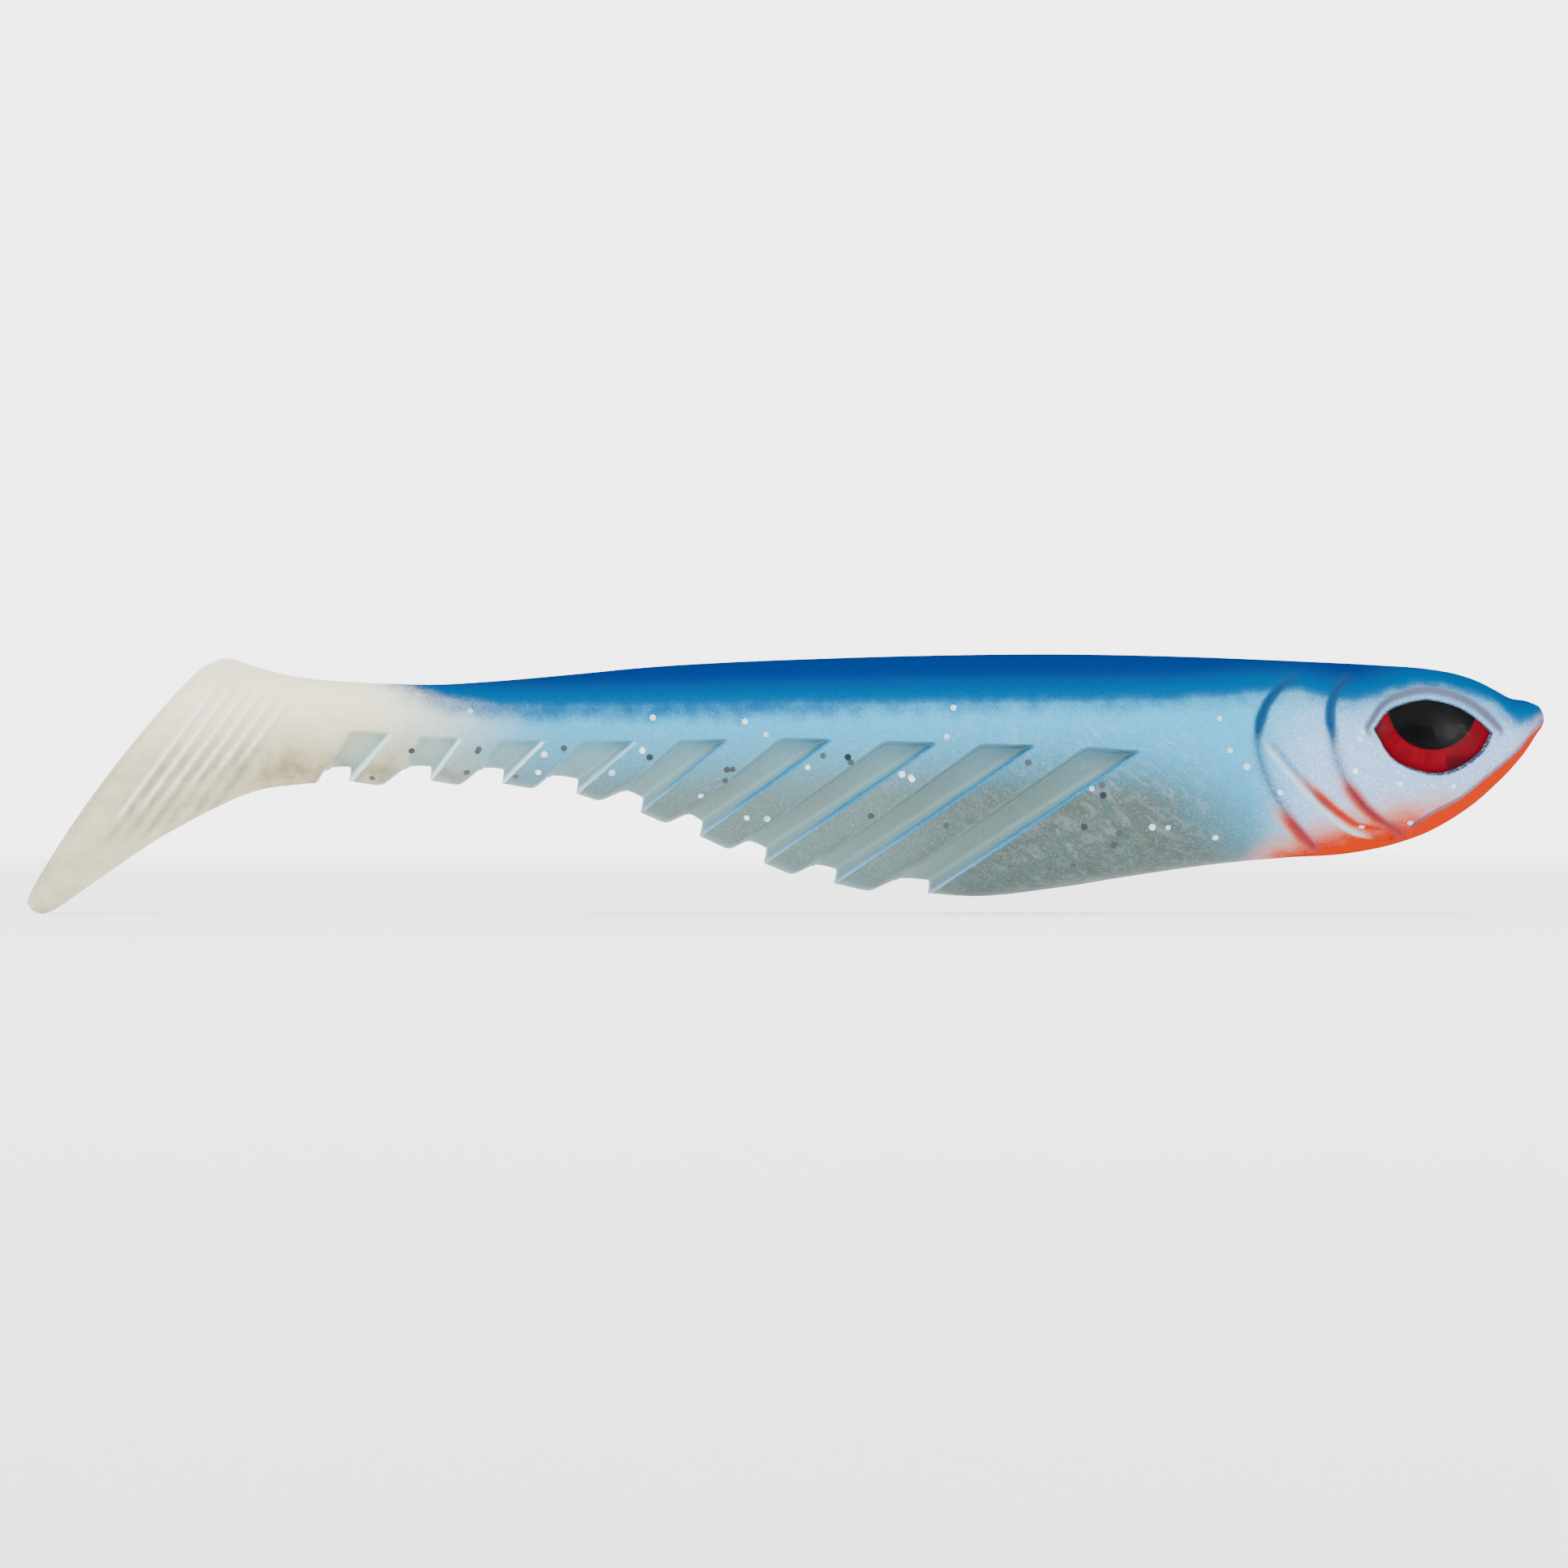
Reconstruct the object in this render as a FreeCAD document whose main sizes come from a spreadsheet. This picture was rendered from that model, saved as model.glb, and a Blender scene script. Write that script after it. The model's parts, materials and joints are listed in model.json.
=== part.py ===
"""Ribbed soft swimbait, 130 mm long, as an assembly that flexes.

Millimetres. The origin is the nose tip, where a hook or jig eye would enter.
+X points out of the nose, +Z out of the back, and the lure's right side faces -Y.

The body, ribs and tail are one soft moulding in the real lure.  It is built here as the
pieces that stay almost stiff (head and trunk, eight ribs, tail wrist, tail paddle) and the
thin webs between them that bend.  Each eye is a lens, a printed foil and a pad of adhesive.
"""

import FreeCAD, Part
import math
import os

DOCUMENT = FreeCAD.newDocument("swimbait")
VECTOR = FreeCAD.Vector
RIB_COUNT = 8
GROOVE_COUNT = RIB_COUNT + 1

# ---------------------------------------------------------------- driving dimensions

DRIVING_SIZES = {
    # the moulding
    "section_fullness": 2.35,       # exponent of the rounded cross-section (2 is an ellipse)
    "cut_half_width": 12,           # reach of the cutting blocks to each side
    "cut_top": 9,                   # height of the cutting blocks over the nose line
    "cut_foot": -19,                # and their depth under it
    "wrist_foot": -6.8,             # just under the wrist, where the block stays in front
    # webs and knuckles
    "web_top_share": 0.62,          # the web's width against the moulding's, at its top
    "web_foot_share": 0.3,          # and at its foot
    "knuckle_front_radius": 2.1,
    "knuckle_radius_step": 0.14,    # each knuckle is this much smaller than the one before
    "knuckle_clearance": 0.1,
    "slit_front_half": 0.57,        # half the slit through the back at the first groove
    "slit_half_step": 0.025,        # each slit is this much narrower than the one before
    "tail_hinge_x": -107,
    "tail_knuckle_radius": 1.9,
    "tail_knuckle_foot": -3.6,      # a full web closes the slit under the knuckle
    "tail_slit_half": 1.05,
    # eyes
    "eye_centre_x": -9.5,
    "eye_centre_y": 3.95,           # out from the middle plane, at the foil
    "eye_centre_z": -1.2,
    "eye_radius": 4.9,
    "eye_rise_deg": 14,             # the eye looks up by this much
    "eye_lead_deg": 13,             # and forward by this much
    "lens_height": 2.3,
    "lens_rim": 0.25,
    "foil_thickness": 0.1,
    "adhesive_thickness": 0.3,
    "lid_opening_half_length": 4.7,
    "lid_opening_half_height": 3.3,
    "lid_opening_drop": 0.45,       # the opening's centre below the eye's
    "lid_opening_depth": 5,
}

# name: back x, back z, belly x, belly z, half width
SECTIONS = {
    "nose": (0, 0.35, 0, -0.75, 0.5),
    "lip": (-1.3, 1.3, -1.3, -2.6, 1.9),
    "snout": (-4.3, 2.4, -4.3, -5.9, 3.8),
    "eye": (-9.5, 4.05, -9.5, -9.6, 6.0),
    "cheek": (-15.5, 4.55, -15.5, -11.5, 6.8),
    "gill": (-22, 4.85, -22, -12.05, 7.0),
    "shoulder": (-31, 5.2, -31, -13, 7.1),
    "saddle": (-41.8, 5.4, -41.8, -14.6, 7.1),
    "belly": (-49, 5.35, -49, -15.3, 6.8),
    "loin": (-57.5, 5.15, -57.5, -14.65, 6.3),
    "hip": (-66, 4.9, -66, -12.6, 5.7),
    "flank": (-75, 4.4, -75, -8.85, 4.9),
    "waist": (-83, 3.6, -83, -6.4, 4.0),
    "root": (-90.5, 3.05, -90.5, -5.65, 3.3),
    "neck": (-97.5, 2.85, -97.5, -5.6, 2.8),
    "wrist": (-104.3, 3.15, -104.8, -5.7, 2.5),
    "heel": (-107.8, 3.9, -111.2, -6.7, 3.2),
    "arch": (-110.6, 4.65, -119.5, -11.1, 5.4),
    "rim": (-112.7, 5, -127.6, -16.7, 8.5),
    "paddle_face": (-114.7, 4.1, -129.8, -16.2, 7.9),
}

# x of the front and rear edges at the top, and the height there; x and z of the front edge
# at the foot, then of the rear edge; half the moulding's width over the groove
GROOVES = (
    (-34.6, -39.4, -2.65, -52.3, -14.2, -55.6, -13.8, 7.1),
    (-43.5, -48.3, -2.25, -60.1, -13.4, -62.7, -12.6, 7.0),
    (-51.9, -56.5, -2.0, -66.0, -11.5, -68.3, -10.5, 6.5),
    (-60.9, -65.4, -1.7, -71.5, -9.3, -73.4, -8.2, 5.9),
    (-69.7, -74.1, -1.85, -76.7, -7.0, -78.8, -6.2, 5.2),
    (-77.6, -82.4, -1.9, -82.5, -5.5, -85.2, -5.0, 4.4),
    (-85.5, -89.4, -1.85, -88.5, -4.5, -91.1, -4.4, 3.6),
    (-92.6, -96.2, -1.65, -94.7, -4.4, -97.5, -4.3, 3.0),
    (-98.5, -102.1, -1.2, -101.6, -4.4, -104.1, -4.4, 2.6),
)

SECTION_KEYS = ("back_x", "back_z", "belly_x", "belly_z", "half_width")
GROOVE_KEYS = ("top_front", "top_rear", "top_z", "foot_front", "foot_front_z",
               "foot_rear", "foot_rear_z", "half_width")


def write_sheet():
    """Puts every size in the sheet under a plain-word alias."""
    sheet = DOCUMENT.addObject("Spreadsheet::Sheet", "Sizes")
    sizes = dict(DRIVING_SIZES)
    for name, values in SECTIONS.items():
        sizes.update({f"{name}_{key}": value for key, value in zip(SECTION_KEYS, values)})
    for number, values in enumerate(GROOVES, start=1):
        for key, value in zip(GROOVE_KEYS, values):
            sizes[f"groove_{number}_{key}"] = value
    for row, (alias, value) in enumerate(sizes.items(), start=1):
        sheet.set(f"A{row}", alias.replace("_", " "))
        sheet.set(f"B{row}", str(value))
        sheet.setAlias(f"B{row}", alias)
    DOCUMENT.recompute()
    return sheet


SHEET = write_sheet()


def size(alias):
    """A size from the sheet, as a number."""
    return float(SHEET.get(alias))


def bind(feature, **expressions):
    """Ties properties to sheet expressions; a dotted property is written with two underscores."""
    for name, expression in expressions.items():
        feature.setExpression(name.replace("__", "."), expression)
    return feature


# ---------------------------------------------------------------- the moulding's outside

POINTS_PER_SECTION = 24


def section_wire(name):
    """A closed rounded section between its back point and its belly point."""
    back = VECTOR(size(f"{name}_back_x"), 0, size(f"{name}_back_z"))
    belly = VECTOR(size(f"{name}_belly_x"), 0, size(f"{name}_belly_z"))
    centre = (back + belly) * 0.5
    half_height = (back - belly) * 0.5
    half_width = VECTOR(0, size(f"{name}_half_width"), 0)
    power = 2.0 / size("section_fullness")
    points = []
    for step in range(POINTS_PER_SECTION):
        angle = 2 * math.pi * step / POINTS_PER_SECTION
        across = math.copysign(abs(math.cos(angle)) ** power, math.cos(angle))
        along = math.copysign(abs(math.sin(angle)) ** power, math.sin(angle))
        points.append(centre + half_width * across + half_height * along)
    curve = Part.BSplineCurve()
    curve.interpolate(points, PeriodicFlag=True)
    return Part.Wire([curve.toShape()])


def lofted_moulding():
    """The whole outside of the lure, smooth through all its sections."""
    feature = DOCUMENT.addObject("Part::Feature", "moulding")
    wires = [section_wire(section) for section in SECTIONS]
    feature.Shape = Part.makeLoft(wires, True, False)
    return feature


# ---------------------------------------------------------------- cutting blocks

def box(name, x_low, x_high, z_low, z_high):
    """A block right across the lure between two heights and two lengths."""
    block = DOCUMENT.addObject("Part::Box", name)
    bind(block,
         Length=f"({x_high}) - ({x_low})",
         Width="2 * Sizes.cut_half_width",
         Height=f"({z_high}) - ({z_low})",
         Placement__Base__x=x_low,
         Placement__Base__y="-Sizes.cut_half_width",
         Placement__Base__z=z_low)
    return block


def edge_at(number, side, height="Sizes.cut_foot"):
    """Where a groove edge, drawn on straight, is at a height (by default the blocks' foot)."""
    groove = f"Sizes.groove_{number}"
    run = f"({groove}_foot_{side} - {groove}_top_{side})"
    drop = f"({groove}_foot_{side}_z - {groove}_top_z)"
    return f"({groove}_top_{side} + {run} / {drop} * ({height} - {groove}_top_z))"


def slanted_block(name, rear_top, front_top, rear_foot, front_foot, top_z,
                  foot="Sizes.cut_foot"):
    """A block with slanted front and rear faces, from the foot up to a given height."""
    block = DOCUMENT.addObject("Part::Wedge", name)
    bind(block,
         Xmin=rear_foot, Xmax=front_foot, X2min=rear_top, X2max=front_top,
         Ymin="0", Ymax=f"({top_z}) - {foot}",
         Zmin="-Sizes.cut_half_width", Zmax="Sizes.cut_half_width",
         Z2min="-Sizes.cut_half_width", Z2max="Sizes.cut_half_width",
         Placement__Base__z=foot)
    upright = FreeCAD.Rotation(VECTOR(1, 0, 0), 90)
    block.Placement = FreeCAD.Placement(block.Placement.Base, upright)
    return block


def post(name, x, radius, z_low, z_high):
    """An upright round post on the middle plane."""
    cylinder = DOCUMENT.addObject("Part::Cylinder", name)
    bind(cylinder, Radius=radius, Height=f"({z_high}) - ({z_low})",
         Placement__Base__x=x, Placement__Base__z=z_low)
    return cylinder


def fuse(name, pieces):
    feature = DOCUMENT.addObject("Part::MultiFuse", name)
    feature.Shapes = pieces
    feature.Refine = False
    return feature


def common(name, base, tool):
    feature = DOCUMENT.addObject("Part::Common", name)
    feature.Base, feature.Tool = base, tool
    return feature


def cut(name, base, tool):
    feature = DOCUMENT.addObject("Part::Cut", name)
    feature.Base, feature.Tool = base, tool
    return feature


# ---------------------------------------------------------------- joints along the back

def hinge_x(number):
    """A hinge stands halfway along the top of its groove."""
    groove = f"Sizes.groove_{number}"
    return f"(({groove}_top_front + {groove}_top_rear) / 2)"


def slit_half(number):
    return f"(Sizes.slit_front_half - {number - 1} * Sizes.slit_half_step)"


def knuckle_radius(number):
    return f"(Sizes.knuckle_front_radius - {number - 1} * Sizes.knuckle_radius_step)"


def socket_radius(number):
    return f"({knuckle_radius(number)} + Sizes.knuckle_clearance)"


def groove_top(number):
    return f"Sizes.groove_{number}_top_z"


TAIL_FRONT = "(Sizes.tail_hinge_x + Sizes.tail_slit_half)"
TAIL_REAR = "(Sizes.tail_hinge_x - Sizes.tail_slit_half)"
TAIL_SOCKET = "(Sizes.tail_knuckle_radius + Sizes.knuckle_clearance)"
NOSE_CLEAR = "2"
PADDLE_CLEAR = "-140"


# ---------------------------------------------------------------- firm pieces

def trunk_region():
    """Everything ahead of the first groove, with the first knuckle behind it."""
    back = box("trunk_back_block", f"{hinge_x(1)} + {slit_half(1)}", NOSE_CLEAR,
               groove_top(1), "Sizes.cut_top")
    belly = slanted_block("trunk_belly_block", "Sizes.groove_1_top_front", NOSE_CLEAR,
                          edge_at(1, "front"), NOSE_CLEAR, groove_top(1))
    knuckle = post("knuckle_1", hinge_x(1), knuckle_radius(1), groove_top(1),
                   "Sizes.cut_top")
    return fuse("trunk_region", [back, belly, knuckle])


def rib_region(number):
    """One rib: a length of the back, the slanted rib under it and the next knuckle."""
    after = number + 1
    top = f"max({groove_top(number)}; {groove_top(after)})"
    back = box(f"back_block_{number}", f"{hinge_x(after)} + {slit_half(after)}",
               f"{hinge_x(number)} - {slit_half(number)}", top, "Sizes.cut_top")
    rib = slanted_block(f"rib_block_{number}",
                        edge_at(after, "front", top), edge_at(number, "rear", top),
                        edge_at(after, "front"), edge_at(number, "rear"), top)
    knuckle = post(f"knuckle_{after}", hinge_x(after), knuckle_radius(after),
                   groove_top(after), "Sizes.cut_top")
    solid = fuse(f"rib_region_{number}", [back, rib, knuckle])
    socket = post(f"socket_{number}", hinge_x(number), socket_radius(number),
                  f"{groove_top(number)} - Sizes.knuckle_clearance * 2", "Sizes.cut_top")
    return cut(f"rib_region_with_socket_{number}", solid, socket)


def wrist_region():
    """The short round wrist between the last groove and the tail hinge."""
    last = GROOVE_COUNT
    back = box("wrist_back_block", TAIL_FRONT, f"{hinge_x(last)} - {slit_half(last)}",
               groove_top(last), "Sizes.cut_top")
    belly = slanted_block("wrist_belly_block", TAIL_FRONT,
                          f"Sizes.groove_{last}_top_rear", TAIL_FRONT,
                          edge_at(last, "rear", "Sizes.wrist_foot"),
                          groove_top(last), "Sizes.wrist_foot")
    knuckle = post("tail_knuckle", "Sizes.tail_hinge_x", "Sizes.tail_knuckle_radius",
                   "Sizes.tail_knuckle_foot", "Sizes.cut_top")
    solid = fuse("wrist_region", [back, belly, knuckle])
    socket = post(f"socket_{last}", hinge_x(last), socket_radius(last),
                  f"{groove_top(last)} - Sizes.knuckle_clearance * 2", "Sizes.cut_top")
    return cut("wrist_region_with_socket", solid, socket)


def paddle_region():
    """Everything behind the tail hinge, hollowed for the wrist's knuckle."""
    block = box("paddle_block", PADDLE_CLEAR, TAIL_REAR, "Sizes.cut_foot",
                "Sizes.cut_top")
    socket = post("tail_socket", "Sizes.tail_hinge_x", TAIL_SOCKET, "Sizes.cut_foot",
                  "Sizes.cut_top")
    return cut("paddle_region_with_socket", block, socket)


# ---------------------------------------------------------------- webs that bend

def groove_web(number, moulding):
    """The web across a groove, narrower than the ribs, and the skin over the slit above it."""
    groove = f"Sizes.groove_{number}"
    foot = f"{groove}_foot_rear_z"
    half_top = f"Sizes.web_top_share * {groove}_half_width"
    half_foot = f"Sizes.web_foot_share * {groove}_half_width"
    web = slanted_block(f"web_block_{number}", f"{groove}_top_rear",
                        f"{groove}_top_front", edge_at(number, "rear", foot),
                        edge_at(number, "front", foot), groove_top(number), foot)
    bind(web, Zmin=f"-{half_foot}", Zmax=half_foot, Z2min=f"-{half_top}", Z2max=half_top)
    slit = box(f"slit_block_{number}", f"{hinge_x(number)} - {slit_half(number)}",
               f"{hinge_x(number)} + {slit_half(number)}", groove_top(number),
               "Sizes.cut_top")
    round_space = post(f"slit_post_{number}", hinge_x(number), socket_radius(number),
                       groove_top(number), "Sizes.cut_top")
    sides = cut(f"slit_sides_{number}", slit, round_space)
    region = fuse(f"web_region_{number}", [web, sides])
    return common(f"flex_web_{number}", moulding, region)


def tail_web(moulding):
    """The soft skin on both sides of the tail's knuckle and the web under it."""
    slit = box("tail_slit_block", TAIL_REAR, TAIL_FRONT, "Sizes.cut_foot",
               "Sizes.cut_top")
    round_space = post("tail_slit_post", "Sizes.tail_hinge_x", TAIL_SOCKET,
                       "Sizes.tail_knuckle_foot - Sizes.knuckle_clearance",
                       "Sizes.cut_top")
    sides = cut("tail_slit_sides", slit, round_space)
    return common("flex_web_tail", moulding, sides)


# ---------------------------------------------------------------- eyes

def eye_placement(side, outward):
    """The frame of an eye: its own Z looks out of the head, a little up and forward."""
    rise = math.radians(size("eye_rise_deg"))
    lead = math.radians(size("eye_lead_deg"))
    look = VECTOR(math.sin(lead), side * math.cos(lead), math.tan(rise)).normalize()
    level = VECTOR(look.y, -look.x, 0).normalize()
    upright = look.cross(level)
    turn = FreeCAD.Rotation(level, upright, look, "ZXY")
    centre = VECTOR(size("eye_centre_x"), side * size("eye_centre_y"),
                    size("eye_centre_z"))
    return FreeCAD.Placement(centre + look * outward, turn)


def new_sketch(body, name, plane_role):
    """A sketch on one of the body's own origin planes."""
    sketch = body.newObject("Sketcher::SketchObject", name)
    plane = next(feature for feature in body.Origin.OriginFeatures
                 if feature.Role == plane_role)
    sketch.AttachmentSupport = [(plane, "")]
    sketch.MapMode = "FlatFace"
    return sketch


def bound_distance(sketch, name, expression, *constraint):
    """Adds a named dimension and ties it to the sheet."""
    import Sketcher
    index = sketch.addConstraint(Sketcher.Constraint(*constraint))
    sketch.renameConstraint(index, name)
    sketch.setExpression(f"Constraints.{name}", expression)


def eye_lens(label, side):
    """A clear domed lens, flat behind, turned about its own axis."""
    import Sketcher
    body = DOCUMENT.addObject("PartDesign::Body", label)
    sketch = new_sketch(body, f"{label}_profile", "XZ_Plane")
    radius, rim, height = size("eye_radius"), size("lens_rim"), size("lens_height")
    dome = (radius ** 2 + (height - rim) ** 2) / (2 * (height - rim))
    start = math.asin(radius / dome)
    centre = VECTOR(0, height - dome, 0)
    arc = Part.Circle(centre, VECTOR(0, 0, 1), dome)
    base = sketch.addGeometry(Part.LineSegment(VECTOR(0, 0, 0), VECTOR(radius, 0, 0)))
    edge = sketch.addGeometry(Part.LineSegment(VECTOR(radius, 0, 0), VECTOR(radius, rim, 0)))
    top = sketch.addGeometry(Part.ArcOfCircle(arc, math.pi / 2 - start, math.pi / 2))
    axis = sketch.addGeometry(Part.LineSegment(VECTOR(0, height, 0), VECTOR(0, 0, 0)))
    for constraint in (
        ("Coincident", base, 1, -1, 1),
        ("Coincident", base, 2, edge, 1),
        ("Coincident", edge, 2, top, 1),
        ("Coincident", top, 2, axis, 1),
        ("Coincident", axis, 2, base, 1),
        ("Horizontal", base),
        ("Vertical", edge),
        ("Vertical", axis),
        ("PointOnObject", top, 3, -2),
    ):
        sketch.addConstraint(Sketcher.Constraint(*constraint))
    bound_distance(sketch, "radius", "Sizes.eye_radius", "Distance", base, radius)
    bound_distance(sketch, "rim", "Sizes.lens_rim", "Distance", edge, rim)
    bound_distance(sketch, "height", "Sizes.lens_height", "Distance", axis, height)
    DOCUMENT.recompute()
    turned = body.newObject("PartDesign::Revolution", f"{label}_turned")
    turned.Profile = sketch
    turned.ReferenceAxis = (sketch, ["V_Axis"])
    turned.Angle = 360
    body.Placement = eye_placement(side, 0)
    return body


def eye_disc(label, side, outward, thickness):
    """A thin round disc under the lens."""
    import Sketcher
    body = DOCUMENT.addObject("PartDesign::Body", label)
    sketch = new_sketch(body, f"{label}_outline", "XY_Plane")
    circle = sketch.addGeometry(
        Part.Circle(VECTOR(0, 0, 0), VECTOR(0, 0, 1), size("eye_radius")))
    sketch.addConstraint(Sketcher.Constraint("Coincident", circle, 3, -1, 1))
    bound_distance(sketch, "radius", "Sizes.eye_radius", "Radius", circle,
                   size("eye_radius"))
    DOCUMENT.recompute()
    pad = body.newObject("PartDesign::Pad", f"{label}_pad")
    pad.Profile = sketch
    bind(pad, Length=f"Sizes.{thickness}")
    body.Placement = eye_placement(side, outward)
    return body


def lid_opening(label, side):
    """The almond-shaped way out through the skin in front of an eye."""
    outline = DOCUMENT.addObject("Part::Ellipse", f"{label}_outline")
    bind(outline, MajorRadius="Sizes.lid_opening_half_length",
         MinorRadius="Sizes.lid_opening_half_height")
    frame = eye_placement(side, size("lens_rim"))
    drop = FreeCAD.Placement(VECTOR(0, -size("lid_opening_drop"), 0), FreeCAD.Rotation())
    outline.Placement = frame.multiply(drop)
    opening = DOCUMENT.addObject("Part::Extrusion", label)
    opening.Base = outline
    opening.DirMode = "Normal"
    opening.Solid = True
    bind(opening, LengthFwd="Sizes.lid_opening_depth")
    return opening


def eye_set(word, side):
    """The three pieces of one eye and the opening in front of it."""
    foil_back = -size("foil_thickness")
    adhesive_back = foil_back - size("adhesive_thickness")
    pieces = [
        eye_lens(f"{word}_eye_lens", side),
        eye_disc(f"{word}_eye_foil", side, foil_back, "foil_thickness"),
        eye_disc(f"{word}_eye_adhesive", side, adhesive_back, "adhesive_thickness"),
    ]
    return pieces, lid_opening(f"{word}_lid_opening", side)


# ---------------------------------------------------------------- assembly

def named(feature, label):
    feature.Label = label
    return feature


def build():
    moulding = lofted_moulding()
    right_eye, right_opening = eye_set("right", -1)
    left_eye, left_opening = eye_set("left", 1)
    DOCUMENT.recompute()

    plain_trunk = common("plain_trunk", moulding, trunk_region())
    eye_space = fuse("eye_space", right_eye + left_eye + [right_opening, left_opening])
    pieces = [named(cut("trunk_with_sockets", plain_trunk, eye_space), "head_trunk")]
    for number in range(1, RIB_COUNT + 1):
        rib = common(f"rib_{number}", moulding, rib_region(number))
        pieces.append(named(rib, f"rib_segment_{number}"))
    pieces.append(named(common("wrist", moulding, wrist_region()), "tail_wrist"))
    pieces.append(named(common("paddle", moulding, paddle_region()), "tail_paddle"))
    for number in range(1, GROOVE_COUNT + 1):
        pieces.append(groove_web(number, moulding))
    pieces.append(tail_web(moulding))
    DOCUMENT.recompute()
    return pieces + right_eye + left_eye


def check(pieces):
    """Stops the build if any feature failed or any piece is not one sound solid."""
    for feature in DOCUMENT.Objects:
        if "Invalid" in feature.State or "Error" in feature.State:
            raise RuntimeError(f"{feature.Name} did not build: {feature.State}")
    for piece in pieces:
        shape = piece.Shape
        if shape.isNull() or not shape.isValid() or shape.Volume <= 0:
            raise RuntimeError(f"{piece.Label} is not a sound solid")
        if len(shape.Solids) != 1:
            raise RuntimeError(f"{piece.Label} is {len(shape.Solids)} solids")


def export(pieces):
    os.makedirs("parts", exist_ok=True)
    for piece in pieces:
        piece.Shape.exportStep(f"parts/{piece.Label}.step")
        print(f"{piece.Label}: {piece.Shape.Volume:.1f} mm3")


PIECES = build()
check(PIECES)
export(PIECES)
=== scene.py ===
"""Ribbed soft swimbait: the painted skin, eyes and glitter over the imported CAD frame.

Lengths in the tables are millimetres of the lure at its 130 mm size; MM turns them to metres.
Columns of points run down each flank from the back to the belly.  In the ribbed part a column
drops straight to the groove line and then leans back with the ribs.
"""

import json
import math

import bpy
import numpy as np
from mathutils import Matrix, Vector


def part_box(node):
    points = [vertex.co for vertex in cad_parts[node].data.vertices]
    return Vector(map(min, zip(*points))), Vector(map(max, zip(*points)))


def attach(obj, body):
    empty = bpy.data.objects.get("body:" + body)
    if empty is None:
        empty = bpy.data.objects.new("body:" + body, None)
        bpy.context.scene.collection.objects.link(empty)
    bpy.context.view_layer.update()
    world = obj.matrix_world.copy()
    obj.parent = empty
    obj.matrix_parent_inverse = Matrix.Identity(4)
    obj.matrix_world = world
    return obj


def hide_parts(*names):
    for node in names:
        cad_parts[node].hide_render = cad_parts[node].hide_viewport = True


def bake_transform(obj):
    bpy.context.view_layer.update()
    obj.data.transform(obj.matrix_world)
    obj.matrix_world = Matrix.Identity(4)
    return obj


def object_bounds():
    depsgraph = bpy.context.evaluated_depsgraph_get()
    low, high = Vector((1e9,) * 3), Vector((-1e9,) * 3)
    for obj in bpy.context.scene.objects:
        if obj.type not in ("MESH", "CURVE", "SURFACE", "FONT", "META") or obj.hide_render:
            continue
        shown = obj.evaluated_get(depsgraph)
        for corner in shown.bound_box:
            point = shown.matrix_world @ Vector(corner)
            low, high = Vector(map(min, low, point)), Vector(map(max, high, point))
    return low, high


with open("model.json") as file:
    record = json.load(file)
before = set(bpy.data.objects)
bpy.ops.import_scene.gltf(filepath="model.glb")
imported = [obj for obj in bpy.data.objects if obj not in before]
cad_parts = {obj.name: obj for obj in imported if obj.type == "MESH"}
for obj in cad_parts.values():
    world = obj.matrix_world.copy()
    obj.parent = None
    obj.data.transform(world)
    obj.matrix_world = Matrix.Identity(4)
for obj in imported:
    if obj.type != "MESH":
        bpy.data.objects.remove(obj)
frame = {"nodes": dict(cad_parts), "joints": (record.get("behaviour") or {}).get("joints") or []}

CAD_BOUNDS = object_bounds()
DRAWN_LENGTH = 129.8
MM = (CAD_BOUNDS[1].x - CAD_BOUNDS[0].x) / DRAWN_LENGTH
JOINTS = {joint["name"]: joint for joint in frame["joints"]}
GROOVES = range(1, 10)
RIBS = range(1, 9)

# ---------------- outline of the lure

BACK = (
    (-0.5, 1.0), (-1.5, 1.4), (-2.9, 1.65), (-4.3, 2.4), (-5.7, 3.1), (-7.5, 3.7),
    (-10, 4.15), (-14, 4.45), (-21, 4.8), (-31, 5.2), (-41.8, 5.4), (-52, 5.3),
    (-62.6, 5.0), (-70, 4.7), (-76.5, 4.3), (-83.4, 3.65), (-90.4, 3.05), (-94.5, 2.82),
    (-99, 2.9), (-104.3, 3.18),
)
BELLY = (
    (-0.5, -1.25), (-1.5, -2.8), (-2.9, -4.5), (-4.3, -5.9), (-5.7, -7.15), (-7.5, -8.45),
    (-9.9, -9.8), (-12.5, -10.75), (-16.8, -11.65), (-22, -12.0), (-28, -12.55),
    (-34.8, -13.5), (-41.8, -14.6), (-48.7, -15.3), (-52.75, -15.05),
)
HALF_WIDTH = (
    (-0.5, 1.25), (-1.5, 2.15), (-2.9, 3.1), (-4.3, 3.95), (-6.5, 4.95), (-9.5, 6.0),
    (-12.5, 6.5), (-15.5, 6.8), (-22, 7.0), (-31, 7.1), (-41.8, 7.1), (-49, 6.8),
    (-57.5, 6.3), (-66, 5.7), (-75, 4.9), (-83, 4.0), (-90.5, 3.3), (-97.5, 2.8),
    (-104.3, 2.5), (-110, 2.5),
)
NOSE_TIP_Z = -0.15
GROOVE_LINE = (
    (-20, -2.9), (-34.6, -2.8), (-39.4, -2.45), (-48.3, -2.2), (-56.5, -1.95), (-65.4, -1.7),
    (-74, -1.9), (-82, -1.95), (-89, -1.85), (-96, -1.5), (-102, -1.0), (-105, -1.1),
)
# the lowest point of each rib, counted from the trunk
RIB_LOWS = (
    (-57.7, -14.9), (-64.3, -13.5), (-69.7, -11.35), (-75.1, -9.1),
    (-80.8, -7.2), (-86.4, -6.15), (-92.7, -5.85), (-99.4, -5.9),
)
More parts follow.
